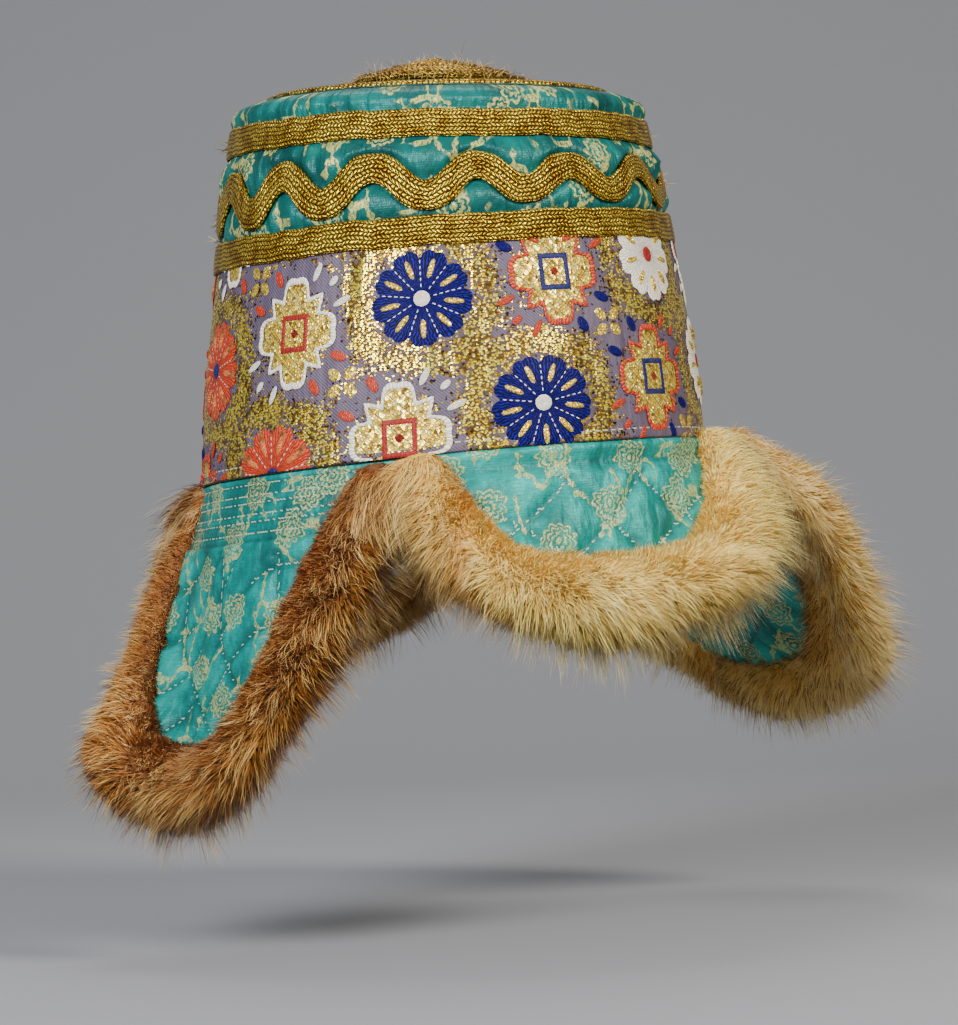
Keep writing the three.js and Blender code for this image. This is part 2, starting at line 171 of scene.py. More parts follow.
# Faces and corner places of a sheet of points, rows by columns; places has one more column
# where the sheet closes on itself.
def gridFaces(rows, columns, places, closeColumns=False, flip=False):
    across = np.arange(columns if closeColumns else columns - 1)
    i, j = np.meshgrid(np.arange(rows - 1), across, indexing="ij")
    i, j = i.ravel(), j.ravel()
    corners = [(i, j), (i, j + 1), (i + 1, j + 1), (i + 1, j)]
    if flip:
        corners.reverse()
    faces = np.stack([(a % rows) * columns + b % columns for a, b in corners], -1)
    return faces, np.stack([places[a, b] for a, b in corners], 1)


# A grid whose vertices are moved to the points, with its ends merged where it closes on itself.
def gridObject(name, points, places, materials, closeRows=False, closeColumns=False, values=None):
    rows, columns = points.shape[:2]
    tall, wide = rows + closeRows, columns + closeColumns
    shape = bmesh.new()
    bmesh.ops.create_grid(shape, x_segments=wide - 1, y_segments=tall - 1, size=1)
    placeLayer = shape.loops.layers.uv.new("place")
    closed = points[np.arange(tall) % rows][:, np.arange(wide) % columns].reshape(-1, 3) * metre
    for vert, point, place in zip(shape.verts, closed, places.reshape(-1, 2)):
        vert.co = point
        for loop in vert.link_loops:
            loop[placeLayer].uv = place
    for key, amounts in (values or {}).items():
        layer = shape.verts.layers.float.new(key)
        amounts = amounts[np.arange(tall) % rows][:, np.arange(wide) % columns].ravel()
        for vert, amount in zip(shape.verts, amounts):
            vert[layer] = amount
    bmesh.ops.remove_doubles(shape, verts=shape.verts, dist=1e-8)
    mesh = bpy.data.meshes.new(name)
    shape.to_mesh(mesh)
    shape.free()
    return sceneObject(name, mesh, materials)


# Faces across the first and last row of a sheet whose columns go there and back.
def endFaces(rows, columns, places):
    j = np.arange(columns // 2 - 1)
    back = columns - 1 - j
    first = np.stack([j, j + 1, back - 1, back], -1)
    last = first[:, ::-1] + (rows - 1) * columns
    faces = np.concatenate([first, last])
    corners = places.reshape(-1, 2)[faces + (faces // columns) * (places.shape[1] - columns)]
    return faces, corners


def addAttribute(made, name, values):
    layer = made.data.attributes.new(name, "FLOAT", "POINT")
    layer.data.foreach_set("value", np.asarray(values, np.float32).ravel())


def dress(made, slot, *nodes):
    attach(made, "root")
    if nodes:
        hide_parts(*nodes)
    return made


# Sets a node's inputs: a socket is linked, a node is linked from its first output, and
# anything else is the socket's own value.
def connect(tree, node, inputs):
    for key, value in inputs.items():
        if isinstance(value, bpy.types.Node):
            value = value.outputs[0]
        if isinstance(value, bpy.types.NodeSocket):
            tree.links.new(value, node.inputs[key])
        else:
            node.inputs[key].default_value = value


# Adds a shader node: its inputs in order or by name, a colour ramp's stops, and its settings.
# A Mix node's colours are its inputs 6 and 7, and its output 2.
def add(tree, kind, *inputs, stops=(), **settings):
    made = tree.nodes.new("ShaderNode" + kind)
    for key, value in settings.items():
        setattr(made, key, value)
    named = inputs[0] if inputs and isinstance(inputs[0], dict) else dict(enumerate(inputs))
    connect(tree, made, named)
    for k, (place, colour) in enumerate(stops):
        elements = made.color_ramp.elements
        element = elements[k] if k < 2 else elements.new(place)
        element.position = place
        element.color = linear(colour)
    return made


def newMaterial(name):
    made = bpy.data.materials.new(name)
    made.use_nodes = True
    tree = made.node_tree
    return made, tree, tree.nodes["Principled BSDF"]


# The place on the cloth in millimetres, as a vector and as its two parts.
def clothPlace(tree):
    vector = add(tree, "UVMap", uv_map="place")
    parts = add(tree, "SeparateXYZ", vector)
    return vector, parts.outputs[0], parts.outputs[1]


# Dyed satin-weave silk: its long floats give a soft sheen that moves over the creases. Pale
# flower heads and leafy stems are woven in. The ribs, 0.8 mm apart, are coarser than real ones.
def silkMaterial(name, tones, figureSize, bold, creasing, smooth, show):
    made, tree, shader = newMaterial(name)
    vector, u, v = clothPlace(tree)
    wander = add(tree, "TexNoise", {"Vector": vector, "Scale": 0.13, "Detail": 2.0}).outputs[1]
    swayed = add(tree, "VectorMath", wander, (5.0, 5.0, 0.0), vector, operation="MULTIPLY_ADD")
    place = swayed.outputs[0]
    cells = add(tree, "VectorMath", place, (1 / figureSize, 1 / figureSize, 1), operation="MULTIPLY")
    flowers = add(
        tree, "TexVoronoi", {"Vector": cells, "Scale": 1.0, "Randomness": 0.7}, voronoi_dimensions="2D"
    )
    local = add(tree, "VectorMath", cells, flowers.outputs["Position"], operation="SUBTRACT")
    parts = add(tree, "SeparateXYZ", local.outputs[0])
    angle = add(tree, "Math", parts.outputs[1], parts.outputs[0], operation="ARCTAN2")
    radius = flowers.outputs["Distance"]
    petal = add(
        tree, "Math",
        add(tree, "Math", add(tree, "Math", angle, 5.5, operation="MULTIPLY"), operation="SINE"),
        operation="ABSOLUTE",
    )
    reach = add(tree, "Math", petal, 0.07, 0.24, operation="MULTIPLY_ADD")
    share = add(tree, "Math", radius, reach, operation="DIVIDE")
    head = add(
        tree, "Math", 1.0, add(tree, "MapRange", share, 0.93, 1.0, interpolation_type="SMOOTHSTEP"),
        operation="SUBTRACT",
    )
    rings = add(
        tree, "MapRange",
        add(tree, "Math", add(tree, "Math", share, 21.0 / bold, operation="MULTIPLY"), operation="SINE"),
        -0.5, 0.2, interpolation_type="SMOOTHSTEP",
    )
    flower = add(tree, "Math", head, rings, operation="MULTIPLY")
    stems = add(
        tree, "TexVoronoi",
        {
            "Vector": add(tree, "VectorMath", place, (1 / 11, 1 / 19, 1), operation="MULTIPLY"),
            "Scale": 1.0,
        },
        voronoi_dimensions="2D", feature="DISTANCE_TO_EDGE",
    )
    leafy = add(tree, "Math", add(tree, "Math", v, 1.5 / bold, operation="MULTIPLY"), operation="SINE")
    leafy = add(tree, "Math", leafy, 0.035 * bold, 0.065 * bold, operation="MULTIPLY_ADD")
    stem = add(tree, "Math", stems, leafy, operation="LESS_THAN")
    stem = add(
        tree, "Math", stem,
        add(
            tree, "MapRange", add(tree, "TexNoise", {"Vector": vector, "Scale": 0.055, "Detail": 1}), 0.5,
            0.54, interpolation_type="SMOOTHSTEP",
        ),
        operation="MULTIPLY",
    )
    tuft = add(
        tree, "MapRange",
        add(
            tree, "TexNoise",
            {
                "Vector": add(tree, "VectorMath", vector, (1.0, 0.45, 1), operation="MULTIPLY"),
                "Scale": 1.1 / bold, "Detail": 3, "Roughness": 0.6,
            },
        ),
        0.32, 0.52, interpolation_type="SMOOTHSTEP",
    )
    figure = add(
        tree, "Math", add(tree, "Math", flower, stem, operation="MAXIMUM"), tuft, operation="MULTIPLY"
    )
    drift = add(tree, "TexNoise", {"Vector": vector, "Scale": 0.05, "Detail": 3})
    silkColour = add(tree, "ValToRGB", drift, stops=list(zip((0.3, 0.5, 0.72), tones)))
    fine = add(
        tree, "TexNoise",
        {
            "Vector": add(tree, "VectorMath", vector, (0.25, 2.2, 1), operation="MULTIPLY"), "Scale": 1.0,
            "Detail": 3, "Roughness": 0.6,
        },
    )
    # Painted shade: fine streaks of darker teal stand in for the shade in the silk's small creases.
    paintedShade = add(
        tree, "Math", add(tree, "MapRange", fine, 0.35, 0.75, interpolation_type="SMOOTHSTEP"), 0.5,
        operation="MULTIPLY",
    )
    silkColour = add(
        tree, "Mix", {0: paintedShade, 6: silkColour, 7: linear("#03504F")}, data_type="RGBA"
    ).outputs[2]
    # Painted shade: the flaps' silk is darkened along the quilting seams, where the cloth dips.
    paintedSeamShade = add(
        tree, "Math", add(tree, "Attribute", attribute_name="seam").outputs["Fac"], 0.6,
        operation="MULTIPLY",
    )
    silkColour = add(
        tree, "Mix", {0: paintedSeamShade, 6: silkColour, 7: linear("#013A38")}, data_type="RGBA"
    ).outputs[2]
    thread = add(
        tree, "ValToRGB", add(tree, "TexNoise", {"Vector": vector, "Scale": 1.5, "Detail": 1}),
        stops=[(0.3, "#8AA04C"), (0.65, "#DCCE78")],
    )
    colour = add(
        tree, "Mix", {0: add(tree, "Math", figure, show, operation="MULTIPLY"), 6: silkColour, 7: thread},
        data_type="RGBA",
    ).outputs[2]
    ribs = add(
        tree, "Math", add(tree, "Math", v, 2 * math.pi / 0.8, operation="MULTIPLY"), operation="SINE"
    )
    crease = add(
        tree, "TexNoise",
        {
            "Vector": add(tree, "VectorMath", vector, (1.0, 0.35, 1), operation="MULTIPLY"),
            "Scale": 0.14, "Detail": 2, "Roughness": 0.45,
        },
    )
    height = add(
        tree, "Math", ribs, 0.03, add(tree, "Math", figure, 0.5, operation="MULTIPLY"),
        operation="MULTIPLY_ADD",
    )
    height = add(tree, "Math", crease, creasing, height, operation="MULTIPLY_ADD")
    rumple = add(
        tree, "TexNoise",
        {
            "Vector": add(tree, "VectorMath", vector, (1.0, 0.5, 1), operation="MULTIPLY"), "Scale": 0.42,
            "Detail": 3, "Roughness": 0.55,
        },
    )
    height = add(tree, "Math", rumple, 0.3 * creasing, height, operation="MULTIPLY_ADD")
    connect(tree, shader, {
        "Base Color": colour,
        "Roughness": add(tree, "Math", fine, 0.25, smooth, operation="MULTIPLY_ADD"),
        "Normal": add(tree, "Bump", {"Height": height, "Distance": 0.4 * metre}),
        "Metallic": 0.2,
        "Specular IOR Level": 0.27,
    })
    return made


# Gilt thread plaited flat: rows of slanting stitches that lean left and right in turn, with a
# painted highlight on the stitch crowns and in glint patches, painted shade in the gaps between
# rows, and brown where the gilding is worn. A stitch is 1.7 mm long, coarser than the real one so
# that it shows.
def goldMaterial(name, width=10.0, plaits=7, light="#FFE24C", dark="#5C4610"):
    made, tree, shader = newMaterial(name)
    vector, u, v = clothPlace(tree)
    stray = add(
        tree, "Math",
        add(
            tree, "TexNoise",
            {
                "Vector": add(tree, "VectorMath", vector, (1.0, 0.2, 1), operation="MULTIPLY"),
                "Scale": 0.22, "Detail": 3,
            },
        ),
        2.2, operation="MULTIPLY",
    )
    rows = add(
        tree, "Math", add(tree, "Math", v, stray, operation="ADD"), plaits / width, operation="MULTIPLY"
    )
    part = add(tree, "Math", rows, operation="FRACT")
    odd = add(tree, "Math", add(tree, "Math", rows, operation="FLOOR"), 2.0, operation="MODULO")
    lean = add(tree, "Math", odd, 2.0, -1.0, operation="MULTIPLY_ADD")
    jitter = add(
        tree, "Math", add(tree, "TexNoise", {"Vector": vector, "Scale": 0.5, "Detail": 2}), 0.9,
        operation="MULTIPLY",
    )
    slant = add(
        tree, "Math", lean, add(tree, "Math", part, 0.75, operation="MULTIPLY"), operation="MULTIPLY"
    )
    run = add(
        tree, "Math",
        add(tree, "Math", add(tree, "Math", u, 1.7, operation="DIVIDE"), jitter, operation="ADD"), slant,
        operation="ADD",
    )
    stitch = add(
        tree, "Math",
        add(tree, "Math", add(tree, "Math", run, math.pi, operation="MULTIPLY"), operation="SINE"),
        operation="ABSOLUTE",
    )
    away = add(
        tree, "Math", add(tree, "Math", part, 2.0, -1.0, operation="MULTIPLY_ADD"), operation="ABSOLUTE"
    )
    ridge = add(tree, "Math", 1.0, add(tree, "Math", away, 3.0, operation="POWER"), operation="SUBTRACT")
    height = add(
        tree, "Math", add(tree, "Math", stitch, 0.6, operation="POWER"), ridge, operation="MULTIPLY"
    )
    wear = add(tree, "TexNoise", {"Vector": vector, "Scale": 0.12, "Detail": 4, "Roughness": 0.65})
    glint = add(
        tree, "MapRange",
        add(
            tree, "TexNoise",
            {
                "Vector": add(tree, "VectorMath", vector, (0.8, 1.6, 1), operation="MULTIPLY"),
                "Scale": 1.3, "Detail": 2, "Roughness": 0.6,
            },
        ),
        0.3, 0.7, interpolation_type="SMOOTHSTEP",
    )
    # Painted highlight and shade: the colour is lightest on the stitch crowns and in the glint patches, and
    # darkest in the gaps between rows.
    paintedShine = add(
        tree, "Math", height, 0.75, add(tree, "Math", glint, 0.35, operation="MULTIPLY"),
        operation="MULTIPLY_ADD",
    )
    paintedShineColour = add(
        tree, "ValToRGB", paintedShine, stops=[(0.05, "#34240A"), (0.35, dark), (0.62, "#B49028"), (0.98, light)]
    )
    colour = add(
        tree, "Mix",
        {
            0: add(tree, "MapRange", wear, 0.42, 0.62, interpolation_type="SMOOTHSTEP"), 6: paintedShineColour,
            7: linear("#BCA450"),
        },
        data_type="RGBA", blend_type="MULTIPLY",
    ).outputs[2]
    connect(tree, shader, {
        "Base Color": colour,
        "Normal": add(tree, "Bump", {"Height": height, "Distance": 0.55 * metre}),
        "Metallic": 0.85,
        "Roughness": add(tree, "Math", glint, -0.28, 0.48, operation="MULTIPLY_ADD"),
    })
    return made


# Brocade ground: dull lavender silk twill, its lines 1.3 mm apart along the band, with flecks
# of gilt strip about 1 mm wide, densest round the flowers, each with a painted glint: a brightness
# at random, raised in broad patches and round the flowers. Both are coarser than the real weave,
# to show.
def brocadeMaterial():
    made, tree, shader = newMaterial("brocade_ground")
    vector, u, v = clothPlace(tree)
    halo = add(tree, "Attribute", attribute_name="halo").outputs["Fac"]
    flecks = add(
        tree, "TexVoronoi",
        {"Vector": add(tree, "VectorMath", vector, (0.92, 1.12, 1), operation="MULTIPLY"), "Scale": 1.0},
        voronoi_dimensions="2D",
    )
    random = add(tree, "SeparateColor", flecks.outputs["Color"])
    patches = add(tree, "TexNoise", {"Vector": vector, "Scale": 0.1, "Detail": 3, "Roughness": 0.6})
    amount = add(
        tree, "Math", add(tree, "Math", patches, 0.5, operation="SUBTRACT"), 1.7, 0.46,
        operation="MULTIPLY_ADD",
    )
    amount = add(tree, "Math", halo, 0.62, amount, operation="MULTIPLY_ADD")
    gold = add(tree, "Math", amount, random.outputs[0], operation="GREATER_THAN")
    edge = add(
        tree, "Math", 1.0,
        add(tree, "MapRange", flecks.outputs["Distance"], 0.38, 0.6, interpolation_type="SMOOTHSTEP"),
        operation="SUBTRACT",
    )
    gold = add(tree, "Math", gold, edge, operation="MULTIPLY")
    # Painted glints: broad patches and the halo round the flowers make the flecks' colour brighter.
    paintedGlintPatches = add(
        tree, "Math", add(tree, "TexNoise", {"Vector": vector, "Scale": 0.07, "Detail": 2}), 1.1, -0.6,
        operation="MULTIPLY_ADD",
    )
    paintedGlints = add(
        tree, "Math", random.outputs[1], add(tree, "Math", halo, 0.32, paintedGlintPatches, operation="MULTIPLY_ADD"),
        operation="ADD",
    )
    lame = add(
        tree, "ValToRGB", paintedGlints,
        stops=[(0.1, "#301E08"), (0.4, "#8A6412"), (0.64, "#EEC01A"), (0.88, "#FFEC54")],
    )
    twill = add(
        tree, "Math", add(tree, "Math", u, v, operation="ADD"), 2 * math.pi / 1.3, operation="MULTIPLY"
    )
    twill = add(
        tree, "MapRange", add(tree, "Math", twill, operation="SINE"), -0.6, 0.6,
        interpolation_type="SMOOTHSTEP",
    )
    ground = add(
        tree, "Mix", {0: twill, 6: linear("#383250"), 7: linear("#585078")}, data_type="RGBA"
    ).outputs[2]
    dust = add(
        tree, "Math", add(tree, "TexNoise", {"Vector": vector, "Scale": 0.9, "Detail": 2}), 0.8,
        operation="MULTIPLY",
    )
    ground = add(tree, "Mix", {0: dust, 6: ground, 7: linear("#5A4A38")}, data_type="RGBA").outputs[2]
    ground = add(
        tree, "Mix",
        {
            0: add(tree, "MapRange", amount, 0.45, 1.1, interpolation_type="SMOOTHSTEP"), 6: ground,
            7: linear("#3A2A1C"),
        },
        data_type="RGBA",
    ).outputs[2]
    colour = add(tree, "Mix", {0: gold, 6: ground, 7: lame}, data_type="RGBA").outputs[2]
    hem = add(
        tree, "MapRange", add(tree, "Math", v, -1.0, operation="MULTIPLY"), 0.6, 1.2,
        interpolation_type="SMOOTHSTEP",
    )
    colour = add(
        tree, "Mix",
        {0: add(tree, "Math", hem, 0.8, operation="MULTIPLY"), 6: colour, 7: linear("#24141C")},
        data_type="RGBA",
    ).outputs[2]
    height = add(
        tree, "Math", gold, add(tree, "Math", random.outputs[2], 0.4, operation="ADD"),
        operation="MULTIPLY",
    )
    height = add(tree, "Math", twill, 0.25, height, operation="MULTIPLY_ADD")
    pucker = add(
        tree, "TexNoise",
        {
            "Vector": add(tree, "VectorMath", vector, (1.0, 0.22, 1), operation="MULTIPLY"), "Scale": 0.1,
            "Detail": 3,
        },
    )
    connect(tree, shader, {
        "Base Color": colour,
        "Metallic": add(tree, "Math", gold, 0.84, operation="MULTIPLY"),
        "Roughness": add(
            tree, "Math", 0.6, add(tree, "Math", gold, 0.32, operation="MULTIPLY"), operation="SUBTRACT"
        ),
        "Normal": add(
            tree, "Bump",
            {
                "Height": add(tree, "Math", pucker, 7.0, height, operation="MULTIPLY_ADD"),
                "Distance": 0.4 * metre,
            },
        ),
    })
    return made


# Gilt lame: flat metal strip in cells of 1.6 mm, each with a painted glint, a brightness at random
# that stands in for its own turn to the light, with dark thread between them.
def lameMaterial():
    made, tree, shader = newMaterial("gold_lame_thread")
    vector, u, v = clothPlace(tree)
    place = add(tree, "VectorMath", vector, (0.62, 0.62, 1), operation="MULTIPLY")
    cells = add(tree, "TexVoronoi", {"Vector": place, "Scale": 1.0}, voronoi_dimensions="2D")
    gaps = add(
        tree, "TexVoronoi", {"Vector": place, "Scale": 1.0}, voronoi_dimensions="2D",
        feature="DISTANCE_TO_EDGE",
    )
    random = add(tree, "SeparateColor", cells.outputs["Color"])
    # Painted glints: each cell's colour is brighter or darker at random.
    paintedGlints = add(
        tree, "ValToRGB", random.outputs[0],
        stops=[(0.0, "#8A6414"), (0.25, "#DCB030"), (0.55, "#FFDC38"), (0.9, "#FFF080")],
    )
    stripe = add(
        tree, "MapRange",
        add(
            tree, "Math", add(tree, "Math", u, 2 * math.pi / 5.5, operation="MULTIPLY"), operation="SINE"
        ),
        0.93, 1.0, interpolation_type="SMOOTHSTEP",
    )
    dark = add(
        tree, "Math",
        add(
            tree, "Math", 1.0, add(tree, "MapRange", gaps, 0.03, 0.12, interpolation_type="SMOOTHSTEP"),
            operation="SUBTRACT",
        ),
        stripe, operation="MAXIMUM",
    )
    connect(tree, shader, {
        "Base Color": add(
            tree, "Mix", {0: dark, 6: paintedGlints, 7: linear("#4A3520")}, data_type="RGBA"
        ).outputs[2],
        "Metallic": add(tree, "Math", dark, -0.6, 0.65, operation="MULTIPLY_ADD"),
        "Normal": add(
            tree, "Bump",
            {
                "Height": add(tree, "Math", gaps, random.outputs[1], operation="MULTIPLY"),
                "Distance": 0.8 * metre,
            },
        ),
        "Roughness": 0.34,
    })
    return made


# Floss silk laid side by side, drawn 0.8 mm from strand to strand so it shows: matt, with a
# slight shine along the strands. The darker colour is painted shade in the grooves between the
# strands, and also darker tone at random.
def threadMaterial(name, colour, paintedShade, pitch=0.8, gloss=0.35):
    made, tree, shader = newMaterial(name)
    vector, u, v = clothPlace(tree)
    wobble = add(
        tree, "Math", add(tree, "TexNoise", {"Vector": vector, "Scale": 0.5, "Detail": 2}), 1.6,
        operation="MULTIPLY",
    )
    line = add(
        tree, "Math",
        add(
            tree, "Math", add(tree, "Math", u, wobble, operation="ADD"), 2 * math.pi / pitch,
            operation="MULTIPLY",
        ),
        operation="SINE",
    )
    height = add(tree, "MapRange", line, -0.9, 0.7, interpolation_type="SMOOTHSTEP")
    # Painted shade in the grooves between strands, times a random tone: low values take the darker colour.
    tone = add(
        tree, "Math", height,
        add(
            tree, "MapRange", add(tree, "TexNoise", {"Vector": vector, "Scale": 0.8, "Detail": 2}), 0.2,
            0.7, interpolation_type="SMOOTHSTEP",
        ),
        operation="MULTIPLY",
    )
    connect(tree, shader, {
        "Base Color": add(
            tree, "Mix", {0: tone, 6: linear(paintedShade), 7: linear(colour)}, data_type="RGBA"
        ).outputs[2],
        "Normal": add(tree, "Bump", {"Height": height, "Distance": 0.3 * metre}),
        "Roughness": 0.5,
        "Specular IOR Level": gloss,
    })
    return made


# Dressed fur: dull hair in four tones from root to tip, warmer in patches, darker in some locks,
# and darker again where the tone attribute carries painted shade on a fur strip's underside.
def hairMaterial(name, tones, warm="#A8843C"):
    made, tree, shader = newMaterial(name)
    tip = add(tree, "Attribute", attribute_name="tip").outputs["Fac"]
    tone = add(tree, "Attribute", attribute_name="tone").outputs["Fac"]
    base = add(
        tree, "ValToRGB", tip, stops=[(0.0, tones[0]), (0.35, tones[1]), (0.7, tones[2]), (1.0, tones[3])]
    )
    warmth = add(
        tree, "Math", add(tree, "Attribute", attribute_name="warm").outputs["Fac"], 0.75,
        operation="MULTIPLY",
    )
    base = add(tree, "Mix", {0: warmth, 6: base, 7: linear(warm)}, data_type="RGBA").outputs[2]
    dark = add(tree, "Mix", {0: 0.55, 6: base, 7: linear(tones[0])}, data_type="RGBA").outputs[2]
    colour = add(
        tree, "Mix",
        {0: add(tree, "MapRange", tone, 0.0, 0.55, interpolation_type="SMOOTHSTEP"), 6: dark, 7: base},
        data_type="RGBA",
    ).outputs[2]
    paler = add(
        tree, "Math", add(tree, "MapRange", tone, 0.7, 1.0, interpolation_type="SMOOTHSTEP"), 0.4,
        operation="MULTIPLY",
    )
    pale = add(tree, "Mix", {0: paler, 6: colour, 7: linear(tones[3])}, data_type="RGBA").outputs[2]
    connect(tree, shader, {
        "Base Color": pale,
        "Roughness": 0.6,
        "Specular IOR Level": 0.25,
        "Sheen Weight": 0.1,
    })
    return made


# The hide and short down between the hairs: matt, mottled in patches of about 11 mm, with the
# down in tufts of 1.4 mm.
def hideMaterial(name, tones):
    made, tree, shader = newMaterial(name)
    place = add(tree, "TexCoord").outputs["Object"]
    patches = add(tree, "TexNoise", {"Vector": place, "Scale": 90, "Detail": 4, "Roughness": 0.7})
    connect(tree, shader, {
        "Base Color": add(tree, "ValToRGB", patches, stops=[(0.3, tones[0]), (0.7, tones[1])]),
        "Normal": add(
            tree, "Bump",
            {
                "Height": add(
                    tree, "TexNoise", {"Vector": place, "Scale": 700, "Detail": 3, "Roughness": 0.7}
                ),
                "Distance": 1.2 * metre,
            },
        ),
        "Roughness": 0.9,
    })
    return made


silk = silkMaterial(
    "figured_silk", ("#013C3A", "#035650", "#0A766E"), figureSize=27, bold=1.1, creasing=6.5, smooth=0.29,
    show=0.76,
)
flapSilk = silkMaterial(
    "quilted_silk", ("#02544F", "#0A8A80", "#1AAEA2"), figureSize=24, bold=0.9, creasing=5.5, smooth=0.36,
    show=0.62,
)
gold = goldMaterial("gold_braid")
coilGold = goldMaterial("gold_cord", width=8.0, plaits=5, light="#C89C40", dark="#5A3E14")
ground = brocadeMaterial()
threads = {
    "blue": threadMaterial("blue_silk_thread", "#180F86", "#05041C", gloss=0.1),
    "navy": threadMaterial("navy_silk_thread", "#1C2A86", "#0A1038"),
    "orange": threadMaterial("orange_silk_thread", "#E64A22", "#8A260E"),
    "peach": threadMaterial("peach_silk_thread", "#F09A5C", "#B0501F"),
    "red": threadMaterial("red_silk_thread", "#CC2F26", "#701813"),
    "white": threadMaterial("white_silk_thread", "#FFFCF0", "#CFC7B2"),
    "lame": lameMaterial(),
    "pale": threadMaterial("pale_sewing_thread", "#C4CCAE", "#8C9A80", pitch=0.4),
}
print("materials made")


# The wavy braid: its turn moves the waves round the hat, in degrees.
wave = {"height": 99, "width": 10, "swing": 5, "count": 14, "turn": -25.3}


def wavePhase(angle):
    return wave["count"] * (angle - math.radians(wave["turn"])) + 0.45 * uneven(angle, 12, (2, 3, 5))


def waveMiddle(angle):
    swing = wave["swing"] * (1 + 0.22 * uneven(angle, 13, (3, 5, 7)))
    return wave["height"] + swing * np.cos(wavePhase(angle))


# The braid's height along the hat's axis, which grows where the braid slants.
def waveWidth(angle):
    steepest = wave["swing"] * wave["count"] / wallRadius(wave["height"])
    return wave["width"] * np.hypot(1, steepest * np.sin(wavePhase(angle)))


# The padded silk puffs out between the braids that hold it down.
def silkPuff(angle, height):
    low, high = braid["lowerHeight"] + braid["width"] / 2, braid["upperHeight"] - braid["width"] / 2
    lower = np.sin(math.pi * np.clip((height - low) / (wave["height"] - low), 0, 1)) * 1.9
    upper = np.sin(math.pi * np.clip((height - wave["height"]) / (high - wave["height"]), 0, 1)) * 2.8
    top = np.sin(math.pi * np.clip((height - high - braid["width"]) / 14, 0, 1)) * 1.8
    pleat = np.sin(angle * 61 + 2 * uneven(angle, 3)) * smoothstep(uneven(angle, 4, (3, 7, 11)), -0.2, 0.6)
    puff = (1.15 * lower + upper + top) * (1 + 0.35 * uneven(angle, 5, (4, 9, 13)))
    puff = puff + 0.6 * pleat * np.minimum(1, lower + upper + top)
    away = np.abs(height - waveMiddle(angle)) - waveWidth(angle) / 2
    pressed = np.minimum(puff, 0.3)
    return np.where(away < 6, pressed + (puff - pressed) * smoothstep(away, -1, 3), puff)


def makeCrownSide():
    angle = np.linspace(-math.pi, math.pi, 421)[:-1]
    heights = np.concatenate([np.linspace(0, 76, 5), np.linspace(84, crown["sideHeight"], 60)])
    radii = wallRadius(heights)[:, None] + silkPuff(angle[None, :], heights[:, None])
    outer = worn(angle[None, :], radii, heights[:, None])
    insideHeights = np.linspace(crown["sideHeight"], 0, 8)
    inner = worn(angle[None, :], wallRadius(insideHeights)[:, None] - crown["wall"], insideHeights[:, None])
    points = np.concatenate([outer, inner])
    down = np.concatenate([heights, 2 * crown["sideHeight"] - insideHeights, [2 * crown["sideHeight"] + 4]])
    places = np.stack(np.meshgrid(down, np.append(angle, math.pi) * midRadius, indexing="ij")[::-1], -1)
    made = gridObject("crown_silk", points, places, [silk], closeRows=True, closeColumns=True)
    return dress(made, "teal_silk", "crown_side")


def makeCrownTop():
    angle = np.linspace(-math.pi, math.pi, 201)[:-1]
    radii = np.linspace(seamRadius, 0.5, 36)
    near = smoothstep(radii, topTrim["braidRadius"], topTrim["braidRadius"] + 8)
    puff = near * np.sin(math.pi * np.clip((seamRadius - radii) / 14 + 0.12, 0, 1)) * 1.5
    lift = puff[:, None] * (1 + 0.3 * uneven(angle, 6, (3, 7, 12))[None, :])
    outer = worn(angle[None, :], radii[:, None] + 0.5 * lift, domeHeight(radii)[:, None] + lift)
    back = radii[::-1]
    under = np.maximum(domeHeight(back) - crown["wall"], crown["sideHeight"] + crown["seam"])
    inner = worn(angle[None, :], np.minimum(back, seamRadius - 0.4)[:, None], under[:, None])
    points = np.concatenate([outer, inner])
    edge = crown["sideHeight"] + seamRadius
    down = np.concatenate([edge - radii, edge + back + 9, [400]])
    places = np.stack(np.meshgrid(down, np.append(angle, math.pi) * 60, indexing="ij")[::-1], -1)
    made = gridObject("crown_top_silk", points, places, [silk], closeRows=True, closeColumns=True)
    return dress(made, "teal_silk", "crown_top")


# The brocade, which sways in and out and reaches past its lower edge by the overlap.
band = {"height": 80.8, "thickness": 1.0, "overlap": 1.6, "sway": 0.5}


# The worn band is not quite round.
def bandSway(angle, height):
    fullness = np.sin(math.pi * np.clip(height / band["height"], 0, 1))
    return band["sway"] * fullness * uneven(angle, 8, (2, 3, 5, 9, 14))


# The brocade's outer face, at a length round the hat and a height, plus some lift.
def onBand(along, height, lift):
    angle = np.asarray(along, float) / midRadius
    height = np.asarray(height, float)
    away = crown["seam"] + band["thickness"] + lift + bandSway(angle, height)
    return worn(angle, wallRadius(height) + away, height)


# The woven repeat: where it starts, and its two steps along and up or down.
motif = {
    "originAlong": -62, "originHeight": 53.5, "stepAlong": 49, "stepRise": 8.1,
    "columnAlong": 40, "columnDrop": 40, "flowerRadius": 18.2, "medallionRadius": 20.5,
}


# Where the woven flowers and medallions lie: a leaning grid of steps.
def motifPlaces():
    half = math.pi * midRadius
    for i in range(-7, 9):
        for j in range(-3, 5):
            along = motif["originAlong"] + i * motif["stepAlong"] + j * motif["columnAlong"]
            height = motif["originHeight"] + i * motif["stepRise"] - j * motif["columnDrop"]
            if abs(along) < half - 6 and -12 < height < band["height"] + 10:
                yield i, along, height + float(waistSink(along / midRadius, height))


